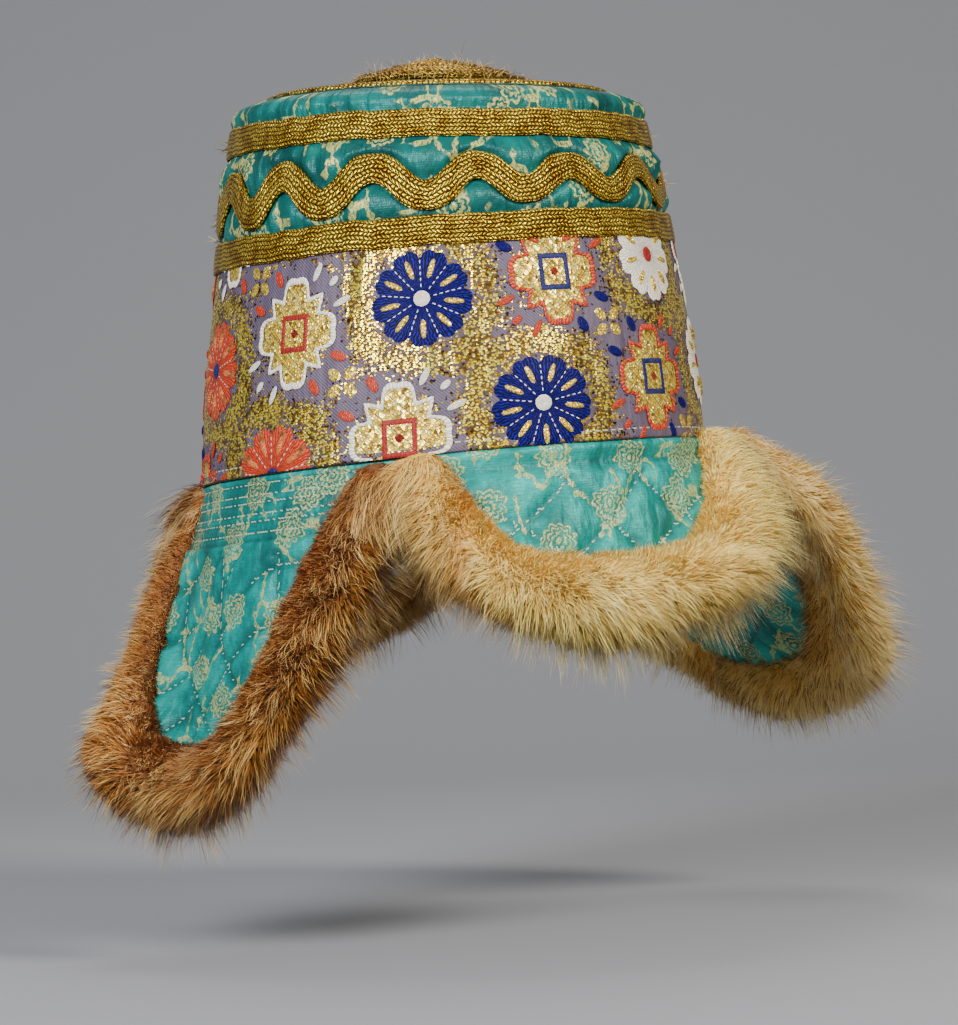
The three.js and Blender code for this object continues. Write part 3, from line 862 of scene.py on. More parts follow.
def makeBrocadeBand():
    columns, rows = 360, 50
    angle = np.linspace(-math.pi, math.pi, columns + 1)
    lowest = -band["overlap"]
    heights = np.concatenate([[lowest], np.linspace(lowest + 0.7, band["height"], rows - 1)])
    around = angle[:-1] * midRadius
    roll = 0.55 * np.exp(-(((heights - 0.1) / 1.2) ** 2))
    outer = onBand(around[None, :], heights[:, None], roll[:, None])
    innerHeights = np.linspace(band["height"], -band["overlap"], 8)
    inner = onBand(around[None, :], innerHeights[:, None], -band["thickness"])
    points = np.concatenate([outer, inner])
    down = np.concatenate([heights, 2 * band["height"] - innerHeights, [2 * band["height"] + 4]])
    places = np.stack(np.meshgrid(down, angle * midRadius, indexing="ij")[::-1], -1)
    halo = np.zeros((len(points), columns))
    bare = np.zeros((len(points), columns))
    for i, along, height in motifPlaces():
        far = np.hypot(around[None, :] - along, np.concatenate([heights, innerHeights])[:, None] - height)
        if i % 2:
            bare = np.maximum(bare, np.exp(-(((far - motif["medallionRadius"] - 1) / 4.5) ** 4)))
            continue
        halo = np.maximum(halo, np.exp(-(((far - motif["flowerRadius"] - 6) / 6) ** 2)))
    values = {"halo": halo - 0.85 * bare * (1 - halo)}
    made = gridObject(
        "brocade_cloth", points, places, [ground], closeRows=True, closeColumns=True, values=values
    )
    return dress(made, "brocade", "brocade_band")


# Short raised dashes of pale thread, each along its own direction.
def stitchObject(name, centre, along, out, half):
    toward = unit(np.cross(out, along))
    corners = [(-half, -0.22), (half, -0.22), (half, 0.22), (-half, 0.22)]
    points = np.stack([centre + along * a + toward * b for a, b in corners], 1)
    points = np.concatenate([points, (centre + out * 0.18)[:, None]], 1)
    template = np.array([(0, 1, 4), (1, 2, 4), (2, 3, 4), (3, 0, 4)])
    faces = (np.arange(len(centre))[:, None, None] * 5 + template).reshape(-1, 3)
    return meshObject(name, points, faces, np.zeros((len(faces), 3, 2)), [threads["pale"]])


# The running stitch just above the brocade's lower edge.
def makeHemStitches():
    along = np.arange(-math.pi * midRadius, math.pi * midRadius, 3.3)
    height = 2.2 + 0.25 * uneven(along / 40, 41)
    centre = onBand(along, height, 0.15)
    ahead = onBand(along + 1, height, 0.15)
    angle = along / midRadius
    out = np.stack([np.sin(angle), -np.cos(angle), 0 * angle], -1)
    dress(stitchObject("brocade_hem_stitches", centre, unit(ahead - centre), out, 1.05), "brocade")


# Collects flat patches of embroidery and joins them into one mesh.
class Patches:
    def __init__(self):
        self.points = []
        self.faces = []
        self.places = []
        self.materials = []
        self.names = []
        self.count = 0

    def material(self, name):
        if name not in self.names:
            self.names.append(name)
        return self.names.index(name)

    # A patch between two outlines round a centre, each a distance for every angle.
    def put(
        self, name, centre, inner, outer, lift, rings=4, segments=72, tilt=0.0, stretch=(1, 1), radial=True
    ):
        turn = np.linspace(0, 2 * math.pi, segments + 1)
        low = np.broadcast_to(np.asarray(inner(turn) if callable(inner) else inner, float), turn.shape)
        high = np.broadcast_to(np.asarray(outer(turn) if callable(outer) else outer, float), turn.shape)
        share = np.linspace(0, 1, rings + 1)[:, None]
        far = low * (1 - share) + high * share
        x, y = far * np.cos(turn) * stretch[0], far * np.sin(turn) * stretch[1]
        along = centre[0] + x * math.cos(tilt) - y * math.sin(tilt)
        height = centre[1] + x * math.sin(tilt) + y * math.cos(tilt)
        lowest, highest = 0.3 - band["overlap"], band["height"] - 1
        edge = np.minimum(1, 4 * np.minimum(share, 1 - share) + 0.45)
        points = onBand(along, np.clip(height, lowest, highest), lift * edge)
        if radial:
            places = np.stack([turn[None, :] * motif["flowerRadius"] * 0.6 + 0 * far, far], -1)
        else:
            places = np.stack([x + y, x - y], -1)
        faces, corners = gridFaces(rings + 1, segments + 1, places)
        shown = ((height > lowest) & (height < highest)).ravel()[faces].any(1)
        self.faces.append(faces[shown] + self.count)
        self.places.append(corners[shown])
        self.materials.append(np.full(shown.sum(), self.material(name)))
        self.points.append(points.reshape(-1, 3))
        self.count += points.shape[0] * points.shape[1]

    def finish(self, name, choices):
        faceMaterials = np.concatenate(self.materials)
        return meshObject(
            name, np.concatenate(self.points), np.concatenate(self.faces), np.concatenate(self.places),
            [choices[n] for n in self.names], faceMaterials,
        )


# One eighth of a medallion's outline: degrees from a lobe's middle, and share of its radius.
medallionTurns = [0, 9, 17, 23, 29, 35, 41, 45]
medallionRadii = [0.97, 1.0, 0.95, 0.83, 0.71, 0.76, 0.88, 0.95]


def medallionOutline(turn):
    folded = np.abs((np.degrees(turn) + 45) % 90 - 45)
    return spline(medallionTurns, medallionRadii, folded) * motif["medallionRadius"]


def square(size):
    def outline(turn):
        return size / np.maximum(np.abs(np.cos(turn)), np.abs(np.sin(turn)))
    return outline


def flowerOutline(turn):
    petals, lead = 9, 0.2
    notch = np.abs(np.sin(petals * (turn - lead) / 2)) ** 0.35
    scallop = np.abs(np.sin(petals * (turn - lead))) ** 0.5
    return motif["flowerRadius"] * (0.74 + 0.18 * notch + 0.09 * scallop * notch)


def almond(turn):
    return 1 - 0.35 * np.abs(np.sin(turn)) ** 2


def drop(turn):
    return 1 + 0.25 * np.cos(turn)


# The point at a distance and turn from another, both as (along, height).
def pointFrom(centre, far, turn):
    return centre[0] + far * math.cos(turn), centre[1] + far * math.sin(turn)


# A flower: petals with a slit and a dashed line each, round an eye.
def putFlower(patches, centre, petal, other, eye, slit):
    radius = motif["flowerRadius"]
    patches.put(petal, centre, 0.5, flowerOutline, 0.55, rings=6, segments=144)
    for k in range(9):
        turn = 2 * math.pi * (k + 0.5) / 9 + 0.2
        patches.put(
            slit, pointFrom(centre, 0.63 * radius, turn), 0, almond, 1.3, 2, 12, turn, (3.7, 1.6), False
        )
        if other:
            patches.put(other, pointFrom(centre, 0.8 * radius, turn), 0, almond, 1.1, 2, 12, turn, (2.8, 2.4))
        line = 2 * math.pi * k / 9 + 0.2
        for far in (0.27, 0.39, 0.51, 0.63, 0.75):
            middle = pointFrom(centre, far * radius, line)
            patches.put("white", middle, 0, 1.0, 1.5, 1, 6, line, (0.75, 0.2), False)
    patches.put(eye, centre, 0, 3.1, 0.95, 3, 24, radial=False)


# A medallion: a lobed outline round lame and a box, with drops and a sprig outside it.
def putMedallion(patches, centre, outline, box, drops):
    size = motif["medallionRadius"]
    stretch = (0.86, 1.0)

    def inside(turn):
        return medallionOutline(turn) - 2.1

    def outside(turn):
        return medallionOutline(turn) + 0.2

    patches.put("lame", centre, 0, inside, 0.3, 5, 96, 0, stretch, False)
    patches.put(outline, centre, inside, outside, 0.9, 2, 144, 0, stretch)
    patches.put(box, centre, square(4.9), square(6.9), 0.8, 2, 32, 0, stretch)
    patches.put(outline if outline == "orange" else box, centre, 0, square(1.4), 0.5, 1, 8, 0.4)
    for corner in (135, -45):
        for side in (-19, 19):
            turn = math.radians(corner + side)
            x, y = pointFrom((0, 0), 1.16 * size, turn)
            place = (centre[0] + 0.9 * x, centre[1] + y)
            patches.put(drops, place, 0, drop, 0.8, 2, 16, turn + math.pi, (3.3, 1.7), False)
    for corner in (45, 225):
        for side, far, long in ((-20, 1.12, 3.6), (0, 1.2, 2.2), (20, 1.12, 3.6)):
            turn = math.radians(corner + side)
            x, y = pointFrom((0, 0), far * size, turn)
            place = (centre[0] + 0.9 * x, centre[1] + y)
            patches.put(outline, place, 0, drop, 0.9, 2, 16, turn, (long, 1.2), False)
    sprig = (centre[0] + motif["columnAlong"] / 2, centre[1] - motif["columnDrop"] / 2)
    for k in range(4):
        turn = math.pi / 4 + k * math.pi / 2
        place = pointFrom(sprig, 3.6, turn)
        patches.put("lame", place, 0, drop, 0.35, 2, 16, turn, (2.7, 1.9), False)


def makeEmbroidery():
    patches = Patches()
    flowers = [
        ("blue", None, "white", "lame"), ("white", None, "red", "lame"), ("orange", "peach", "navy", "peach"),
    ]
    for i, along, height in motifPlaces():
        centre = (along, height)
        if i % 2 == 0:
            putFlower(patches, centre, *flowers[(i // 2) % 3])
        elif (i // 2) % 2:
            putMedallion(patches, centre, "white", "red", "orange")
        else:
            putMedallion(patches, centre, "orange", "navy", "blue")
    return dress(patches.finish("brocade_flowers", threads), "brocade")


# A flat braid round the crown: its cross-section is slightly full in the middle.
def braidRing(name, middle, width, thickness, radiusAt, columns=420, swing=None):
    angle = np.linspace(-math.pi, math.pi, columns + 1)
    across = np.linspace(-0.5, 0.5, 12)
    around = angle[:-1]
    centre = middle(around) if callable(middle) else np.full(columns, float(middle))
    wide = width(around) if callable(width) else np.full(columns, float(width))
    ripple = 0.5 * uneven(around, 11, (6, 13, 21, 37, 52))
    outerHeights = centre[None, :] + across[:, None] * wide[None, :] + ripple
    full = thickness * (0.55 + 0.45 * np.sqrt(np.maximum(0, 1 - (2 * across) ** 4)))
    outer = worn(around[None, :], radiusAt(around[None, :], outerHeights) + full[:, None], outerHeights)
    innerHeights = outerHeights[::-1]
    inner = worn(around[None, :], radiusAt(around[None, :], innerHeights) + 0.05, innerHeights)
    points = np.concatenate([outer, inner])
    cross = (across + 0.5) * 10
    down = np.concatenate([cross, cross[::-1], [0]])
    places = np.stack(np.meshgrid(down, angle * midRadius, indexing="ij")[::-1], -1)
    if swing is not None:
        length = np.concatenate([[0], np.cumsum(swing)])
        places[..., 0] = length[None, :]
    return gridObject(name, points, places, [gold], closeRows=True, closeColumns=True)


def makeSideBraids():
    def overBrocade(angle, height):
        return wallRadius(height) + 2 * crown["seam"] + band["thickness"]

    def overSilk(angle, height):
        return wallRadius(height) + crown["seam"]

    lower = braidRing(
        "lower_gold_braid", braid["lowerHeight"], braid["width"], braid["thickness"], overBrocade
    )
    dress(lower, "gold_braid", "lower_braid")
    upper = braidRing(
        "upper_gold_braid", braid["upperHeight"], braid["width"], braid["thickness"] + 0.2, overSilk
    )
    dress(upper, "gold_braid", "upper_braid")


def makeWaveBraid():
    columns = wave["count"] * 40

    def radiusAt(angle, height):
        return wallRadius(height) + crown["seam"] + 0.9

    around = np.linspace(-math.pi, math.pi, columns + 1)[:-1]
    swing = waveWidth(around) / wave["width"] * 2 * math.pi * 84 / columns
    made = braidRing(
        "wavy_gold_braid", waveMiddle, waveWidth, braid["thickness"] + 0.3, radiusAt, columns, swing
    )
    dress(made, "gold_braid", "wave_braid")


# The ring and the coil on the top, and how many loose threads the coil has.
topTrim = {"braidRadius": 61.5, "braidWidth": 8, "coilRadius": 36, "cordRadius": 3.4, "threads": 2200}


def makeTopBraid():
    columns = 360
    angle = np.linspace(-math.pi, math.pi, columns + 1)
    across = np.linspace(-0.5, 0.5, 11)
    radii = topTrim["braidRadius"] + across * topTrim["braidWidth"]
    full = braid["thickness"] * (0.55 + 0.45 * np.sqrt(np.maximum(0, 1 - (2 * across) ** 4)))
    outerRadii = radii[::-1]
    outerHeights = domeHeight(outerRadii)[:, None] + crown["seam"] + full[::-1, None]
    outer = worn(angle[None, :-1], outerRadii[:, None], outerHeights)
    inner = worn(angle[None, :-1], radii[:, None], domeHeight(radii)[:, None] + crown["seam"] * 0.5)
    points = np.concatenate([outer, inner])
    cross = (across + 0.5) * 10
    down = np.concatenate([cross, cross[::-1], [0]])
    places = np.stack(np.meshgrid(down, angle * 58, indexing="ij")[::-1], -1)
    made = gridObject("top_gold_braid", points, places, [gold], closeRows=True, closeColumns=True)
    dress(made, "gold_braid", "top_braid")


# A cord wound flat from the edge of the coil to the middle of the top.
def makeTopCoil():
    radius = topTrim["cordRadius"]
    turns = (topTrim["coilRadius"] - radius) / (2 * radius * 0.93)
    steps = int(turns * 60)
    turn = np.linspace(0, turns * 2 * math.pi, steps)
    far = np.maximum(topTrim["coilRadius"] - radius - turn / (2 * math.pi) * 2 * radius * 0.93, 0.4)
    thick = radius * 0.72
    height = domeHeight(far) + crown["seam"] + thick * 0.72
    line = worn(turn, far, height)
    line[:, 2] += 0.5 * uneven(turn, 15, (3, 5, 8))
    along = unit(np.gradient(line, axis=0))
    up = np.broadcast_to([0.0, 0.0, 1.0], line.shape)
    side = unit(np.cross(along, up))
    around = np.linspace(0, 2 * math.pi, 13)
    taper = smoothstep(np.arange(steps), 0, 14)[:, None, None] * 0.85 + 0.15
    ring = np.cos(around[:-1])[None, :, None] * side[:, None, :] * radius
    ring = ring + np.sin(around[:-1])[None, :, None] * up[:, None, :] * thick
    points = line[:, None, :] + ring * taper
    length = np.concatenate([[0], np.cumsum(np.linalg.norm(np.diff(line, axis=0), axis=1))])
    places = np.stack(np.meshgrid(length, around * radius, indexing="ij"), -1)
    made = gridObject("top_gold_coil", points, places, [coilGold], closeColumns=True)
    dress(made, "gold_braid", "top_coil")


# Ribbons of hair or thread: each starts at a root, runs along a direction and bends.
def hairObject(name, roots, directions, bends, lengths, widths, facing, tones, warmth, material, rings=3):
    count = len(roots)
    t = np.linspace(0, 1, rings + 1)
    path = (
        roots[:, None, :] + directions[:, None, :] * (lengths[:, None] * t)[..., None]
        + bends[:, None, :] * (lengths[:, None] * t**2)[..., None]
    )
    side = unit(np.cross(directions, unit(facing + rng.normal(0, 0.45, facing.shape))))
    half = widths[:, None] * 0.5 * (1 - t[:-1]) ** 0.5
    left = path[:, :-1] - side[:, None, :] * half[..., None]
    right = path[:, :-1] + side[:, None, :] * half[..., None]
    points = np.concatenate([np.stack([left, right], 2).reshape(count, -1, 3), path[:, -1:]], 1)
    template = []
    for k in range(rings - 1):
        a = 2 * k
        template += [(a, a + 1, a + 3), (a, a + 3, a + 2)]
    template.append((2 * rings - 2, 2 * rings - 1, 2 * rings))
    size = 2 * rings + 1
    faces = (np.arange(count)[:, None, None] * size + np.array(template)).reshape(-1, 3)
    made = meshObject(name, points, faces, None, [material])
    addAttribute(made, "tip", np.broadcast_to(np.append(np.repeat(t[:-1], 2), 1), (count, size)))
    addAttribute(made, "tone", np.broadcast_to(tones[:, None], (count, size)))
    addAttribute(made, "warm", np.broadcast_to(warmth[:, None], (count, size)))
    normals = np.repeat(unit(facing + 0.25 * directions), size, axis=0)
    made.data.normals_split_custom_set_from_vertices([tuple(n) for n in normals])
    return made


def makeTopThreads():
    count = topTrim["threads"]
    turn = rng.uniform(-math.pi, math.pi, count)
    far = topTrim["coilRadius"] * np.sqrt(rng.uniform(0, 1, count)) * 0.98
    roots = worn(turn, far, domeHeight(far) + 3.4)
    outward = np.stack([np.sin(turn), -np.cos(turn), 0 * turn], -1)
    lean = outward * rng.uniform(-0.6, 1.0, (count, 1))
    directions = unit(lean + rng.normal(0, 0.9, (count, 3)) + [0, 0, 0.25])
    bends = rng.normal(0, 0.6, (count, 3)) + [0, 0, -0.35]
    lengths = 1.6 + 4.4 * rng.uniform(0, 1, count) ** 3
    facing = np.broadcast_to([0.0, 0.0, 1.0], roots.shape) + outward
    material = hairMaterial("loose_gold_thread", ["#6B4E16", "#A07A2A", "#C09A48", "#D9BE78"])
    made = hairObject(
        "top_loose_threads", roots, directions, bends, lengths, rng.uniform(0.18, 0.36, count), facing,
        rng.uniform(0.2, 1, count), np.zeros(count), material, 5,
    )
    dress(made, "gold_braid")


# Broken ends of gold thread where a braid starts and stops.
def makeFrays():
    spots = [(-121, 96, 30), (-118, 88, 14), (53, 103, 26), (57, 122, 12), (-122, 121, 12)]
    turn = np.concatenate([np.radians(a) + rng.normal(0, 0.012, n) for a, h, n in spots])
    height = np.concatenate([h + rng.normal(0, 1.2, n) for a, h, n in spots])
    count = len(turn)
    roots = worn(turn, wallRadius(height) + 1.6, height)
    out = np.stack([np.sin(turn), -np.cos(turn), 0 * turn], -1)
    directions = unit(out + rng.normal(0, 0.55, (count, 3)))
    bends = rng.normal(0, 0.5, (count, 3)) + [0, 0, -0.2]
    material = hairMaterial("frayed_gold_thread", ["#8A6420", "#C89A3A", "#E6C468", "#F6E4A4"])
    made = hairObject(
        "braid_frays", roots, directions, bends, rng.uniform(1.2, 3.6, count),
        rng.uniform(0.25, 0.5, count), out, rng.uniform(0.2, 1, count), np.zeros(count), material, 5,
    )
    dress(made, "gold_braid")


makeCrownSide()
makeCrownTop()
makeBrocadeBand()
makeEmbroidery()
makeHemStitches()
makeSideBraids()
makeWaveBraid()
makeTopBraid()
makeTopCoil()
makeTopThreads()
makeFrays()
print("crown made")


# Sections down a flap: down, drop, reach, half, minus, plus, as in the source.
shortSections = [
    (0, 0, 0, 0.985, 0, 0), (0.25, 0.25, 0.06, 0.91, 0.03, 0.1), (0.5, 0.5, 0.12, 0.8, 0.06, 0.16),
    (0.75, 0.73, 0.18, 0.62, 0.06, 0.18), (0.92, 0.87, 0.22, 0.39, 0.04, 0.13),
    (1, 0.92, 0.24, 0.21, 0.02, 0.08),
]
hangingSections = [
    (0, 0, 0, 0.985, 0, 0), (0.25, 0.24, 0.03, 0.84, 0.07, 0.02), (0.5, 0.48, 0.06, 0.7, 0.13, 0.02),
    (0.75, 0.72, 0.1, 0.53, 0.17, 0.03), (0.92, 0.88, 0.14, 0.35, 0.17, 0.02),
    (1, 0.95, 0.17, 0.18, 0.13, 0.02),
]
spreadSections = [
    (0, 0, 0, 0.985, 0, 0), (0.25, 0.21, 0.11, 0.9, 0.15, 0.05), (0.5, 0.42, 0.24, 0.78, 0.17, 0.08),
    (0.75, 0.63, 0.37, 0.61, 0.15, 0.08), (0.92, 0.76, 0.48, 0.4, 0.1, 0.06),
    (1, 0.81, 0.53, 0.2, 0.06, 0.03),
]
# The quilted cloth of the flaps.
cloth = {"thickness": 3, "puff": 1.6, "stitchWidth": 0.45, "stitchLength": 2.4}
# One dictionary per flap and its fur: fur tones from root to tip, a warmer tone in patches,
# how thick the strip is, how much painted shade darkens its underside, and how many hairs of each
# kind it has.
flaps = {
    "front": {
        "turn": 0, "lean": -3, "curl": 2.2, "length": 62, "sections": shortSections, "quilt": "lozenge",
        "under": ["#C0903C", "#F0C458", "#FFE27A", "#FFF098"],
        "guard": ["#74561F", "#E0BE56", "#FFE884", "#FFF8BA"],
        "warm": "#C87018", "size": 1.0, "thin": 0.1, "paintedShade": 0.3, "hairFrom": (-0.5, 1.3),
        "underHairs": 92000, "guardHairs": 15000,
    },
    "right_ear": {
        "turn": -90, "lean": -4, "curl": 4, "length": 118, "sections": hangingSections, "quilt": "vine",
        "under": ["#3E2209", "#804810", "#B26C20", "#CA8C38"],
        "guard": ["#341A04", "#865012", "#E6B45C", "#FFE9A2"],
        "warm": "#A8581A", "size": 0.95, "thin": 0.45, "paintedShade": 0.35, "hairFrom": (-0.5, 1.3),
        "underHairs": 90000, "guardHairs": 15000,
    },
    "left_ear": {
        "turn": 90, "lean": 0, "curl": 2.2, "length": 120, "sections": spreadSections, "quilt": "vine",
        "under": ["#B07A2A", "#F8C860", "#FFE48C", "#FFF0AC"],
        "guard": ["#B07C34", "#F6CC74", "#FFEAA2", "#FFF8CC"],
        "warm": "#E09A3C", "size": 1.1, "thin": 0.1, "paintedShade": 0.25, "hairFrom": (-0.95, 1.1),
        "underHairs": 76000, "guardHairs": 12000,
    },
    "back": {
        "turn": 180, "lean": 0, "curl": 2.2, "length": 62, "sections": shortSections, "quilt": "lozenge",
        "under": ["#633A16", "#B07836", "#D6A25C", "#E2B876"],
        "guard": ["#543414", "#A0743A", "#DDB676", "#F5DFAC"],
        "warm": "#A8662C", "size": 0.95, "thin": 0.1, "paintedShade": 0.35, "hairFrom": (-0.5, 1.25),
        "underHairs": 46000, "guardHairs": 7000,
    },
}


# A point of a flap's middle surface, as in the source.
def flapPoint(flap, across, down):
    table = np.array(flap["sections"], float)
    drop, reach, half, minus, plus = (spline(table[:, 0], table[:, k], down) for k in range(1, 6))
    middle = crown["rimRadius"] - crown["wall"] / 2
    length = flap["length"]
    radius = middle + length * reach
    angle = math.radians(flap["turn"]) + np.radians(flap["lean"]) * down
    angle = angle + across * half * quarterRound / radius
    curl = flap["curl"]
    out = radius + length * (minus * np.maximum(0, -across) ** curl + plus * np.maximum(0, across) ** curl)
    z = edgeHeight(angle) - crown["seam"] - length * drop
    return np.stack([out * np.sin(angle), -out * np.cos(angle), z], -1)


def flapFrame(flap, across, down):
    across, down = np.broadcast_arrays(np.asarray(across, float), np.asarray(down, float))
    step = 0.01
    inner = np.clip(down, step, 1 - step)
    right = unit(flapPoint(flap, across + step, inner) - flapPoint(flap, across - step, inner))
    below = unit(flapPoint(flap, across, inner + step) - flapPoint(flap, across, inner - step))
    return flapPoint(flap, across, down), right, below, unit(np.cross(below, right))


# Distance from the nearest line of stitches, and the length along it, in millimetres.
def quiltLines(flap, x, y):
    nearest = np.full(np.broadcast(x, y).shape, 99.0)
    run = np.zeros(nearest.shape)

    def family(value, along, spacing, low, high):
        nonlocal nearest, run
        far = np.abs(value / spacing - np.round(value / spacing)) * spacing
        far = np.where((y > low) & (y < high), far, 99)
        run = np.where(far < nearest, along, run)
        nearest = np.minimum(nearest, far)

    if flap["quilt"] == "lozenge":
        family(y - 8.5, x, 90, 4, 13)
        lean = 0.62
        bow = 4 * np.sin(x / 19)
        c, s = math.cos(lean), math.sin(lean)
        family(y * c + x * s + bow, x * c - y * s, 24, 12, 200)
        family(y * c - x * s - bow, x * c + y * s, 24, 12, 200)
    else:
        family(y - 4.5, x, 3.6, 3, 27)
        bow = 9 * np.sin(x / 15 + 0.6)
        family(y * 0.8 + x * 0.6 + bow, x * 0.8 - y * 0.6, 17, 28, 300)
        family(y * 0.55 - x * 0.83 + 7 * np.sin(y / 14), x * 0.55 + y * 0.83, 29, 30, 300)
    return nearest, run


def makeFlap(name, flap):
    columns, rows = (104, 48) if flap["quilt"] == "lozenge" else (88, 84)
    across = np.linspace(-1, 1, columns)
    down = np.linspace(0, 1, rows)[:, None]
    place, right, below, out = flapFrame(flap, across[None, :], down)
    table = np.array(flap["sections"], float)
    halfWidth = spline(table[:, 0], table[:, 3], down) * quarterRound
    x = across[None, :] * halfWidth
    y = down * flap["length"] + 0 * x
    level = smoothstep(down, 0, 0.12)[..., None]
    flat = unit(out * np.array([1, 1, 0]) + out * np.array([0, 0, 1]) * level)
    nearest, run = quiltLines(flap, x, y)
    gap = 3.2 if flap["quilt"] == "lozenge" else 2.2
    puff = cloth["puff"] * (1 - np.exp(-((nearest / gap) ** 2))) - 0.45 + 0.35 * uneven(x / 14 + y / 23, 21)
    if flap["quilt"] == "lozenge":
        puff = puff + 0.8 * np.exp(-(((y - 3.2) / 2.0) ** 2))
    close = np.minimum(1, 0.25 + 30 * np.minimum(down, 1 - down))
    half = cloth["thickness"] / 2 * close + 0 * puff
    outer = place + flat * (half + puff * close)[..., None]
    inner = place - flat * (half + 0.5 * puff * close)[..., None]
    points = np.concatenate([outer, inner[:, ::-1]], axis=1)
    both = np.concatenate([x, x[:, ::-1] + 200, x[:, :1]], axis=1)
    places = np.stack([both, np.broadcast_to(y[:, :1], both.shape)], -1)
    faces, corners = gridFaces(rows, 2 * columns, places, closeColumns=True, flip=True)
    ends, endCorners = endFaces(rows, 2 * columns, places)
    faces, corners = np.concatenate([faces, ends]), np.concatenate([corners, endCorners])
    made = meshObject(name + "_cloth", points, faces, corners, [flapSilk])
    seam = np.exp(-((nearest / 1.7) ** 2))
    addAttribute(made, "seam", np.concatenate([seam, seam[:, ::-1]], axis=1).ravel())
    strips = np.linalg.norm(np.diff(place, axis=1), axis=2).sum(1)
    lines = np.linalg.norm(np.diff(place, axis=0), axis=2).sum(0)
    area = float(np.linalg.norm(np.cross(
        place[1:, :-1] - place[:-1, :-1], place[:-1, 1:] - place[:-1, :-1]), axis=2).sum())
    flatSize = (float(strips.max()) * metre, float(lines.max()) * metre)
    area = min(area, 0.99 * flatSize[0] * flatSize[1] / metre**2)
    print(name, "flat", [round(f / metre) for f in flatSize], "mm, area", round(area), "mm2")
    dress(made, "teal_silk", name + "_flap")
    makeStitches(name, outer, flat, right, below, nearest, run)


# Pale sewing thread: a short raised dash on every stitch of a quilting line.
def makeStitches(name, outer, flat, right, below, nearest, run):
    spacing = 3.6
    phase = np.mod(run, spacing)
    chosen = (nearest < cloth["stitchWidth"]) & (phase < cloth["stitchLength"])
    rows, columns = np.nonzero(chosen[:-1, :-1])
    if len(rows) == 0:
        return
    pick = rng.permutation(len(rows))[:1800]
    rows, columns = rows[pick], columns[pick]
    centre = outer[rows, columns] + flat[rows, columns] * 0.12
    gradientAcross = nearest[rows, columns + 1] - nearest[rows, columns]
    gradientDown = nearest[rows + 1, columns] - nearest[rows, columns]
    toward = right[rows, columns] * gradientAcross[:, None]
    toward = unit(toward + below[rows, columns] * gradientDown[:, None] * 1.3 + 1e-6)
    along = unit(np.cross(toward, flat[rows, columns]))
    dress(stitchObject(name + "_stitches", centre, along, flat[rows, columns], 0.7), "teal_silk")


# The fur strips: their cross-section, then the short under hair and the long guard hair.
fur = {
    "halfWidth": 13, "halfDepth": 9, "proud": 3, "hairsPerLock": 26,
    "underLength": 8, "underWidth": 0.34, "underPull": 0.3,
    "underRings": 1, "underRise": 0.75, "underStray": 0.3,
    "guardLength": 13.5, "guardWidth": 0.2, "guardPull": 0.5,
    "guardRings": 3, "guardRise": 0.35, "guardStray": 0.22,
}


# The line that a fur strip follows, with its directions, at even steps.
def furRoute(flap, count=240):
    side = [0.03, 0.25, 0.42, 0.6, 0.78, 0.92]
    across = np.array([-1] * 6 + [-0.55, 0.55] + [1] * 6, float)
    down = np.array(side + [1, 1] + side[::-1])
    place, right, below, out = flapFrame(flap, across, down)
    steps = np.concatenate([[0], np.cumsum(np.linalg.norm(np.diff(place, axis=0), axis=1))])
    even = np.linspace(0, steps[-1], count)
    line = np.stack([spline(steps, place[:, k], even) for k in range(3)], -1)
    outs = np.stack([spline(steps, out[:, k], even) for k in range(3)], -1)
    along = unit(np.gradient(line, axis=0))
    outs = unit(outs - along * (outs * along).sum(-1, keepdims=True))
    return line, along, outs, unit(np.cross(along, outs)), steps[-1]


# How full the strip is along its length; its first side is thinner by the share that thin gives.
def fullness(share, thin):
    end = np.minimum(share, 1 - share)
    full = np.sqrt(np.minimum(1, end / 0.02 + 0.02)) * (0.8 + 0.2 * smoothstep(end, 0, 0.12))
    full = full * (1 - thin * smoothstep(-share, -0.42, -0.24)) * (1 + 0.07 * uneven(share * 15, 35))
    return full * (1 + 0.1 * np.exp(-(((share - 0.5) / 0.12) ** 2)))


# A point on the strip's hide, and the way that hair grows there.
def furSurface(flap, route, share, around):
    line, along, outs, away, length = route
    at = share * (len(line) - 1)
    i = np.clip(at.astype(int), 0, len(line) - 2)
    t = (at - i)[:, None]
    centre, run, out, side = (a[i] * (1 - t) + a[i + 1] * t for a in (line, along, outs, away))
    size = flap["size"] * fullness(share, flap["thin"])[:, None]
    cos, sin = np.cos(around)[:, None], np.sin(around)[:, None]
    point = centre + out * size * (fur["proud"] + fur["halfDepth"] * sin)
    point = point + side * size * fur["halfWidth"] * cos
    normal = unit(out * sin / fur["halfDepth"] + side * cos / fur["halfWidth"])
    return point, normal, unit(out), unit(side), unit(run), size[:, 0]


def makeFurBacking(name, flap, route):
    share = np.linspace(0, 1, 120)
    around = np.linspace(0, 2 * math.pi, 25)[:-1]
    grid = np.stack(np.meshgrid(share, around, indexing="ij"), -1).reshape(-1, 2)
    points = furSurface(flap, route, grid[:, 0], grid[:, 1])[0].reshape(120, 24, 3)
    places = np.zeros((120, 25, 2))
    hide = hideMaterial(name + "_hide", [flap["under"][0], flap["under"][1]])
    made = gridObject(name + "_fur_backing", points, places, [hide], closeColumns=True)
    dress(made, slotOf[name], name + "_fur")


# Patches of warmer fur: round the notch on the front strip, next to the cloth on the ears.
def warmPatches(name, share, around):
    drift = 0.5 + 0.5 * uneven(share * 14 + around * 0.7, 31)
    if name == "front":
        notch = 0.8 * smoothstep(-share, -0.42, -0.12)
        return drift * (notch + 0.3 * smoothstep(np.cos(around), 0, 0.7))
    return drift * smoothstep(-np.cos(around), -0.5, 0.7)


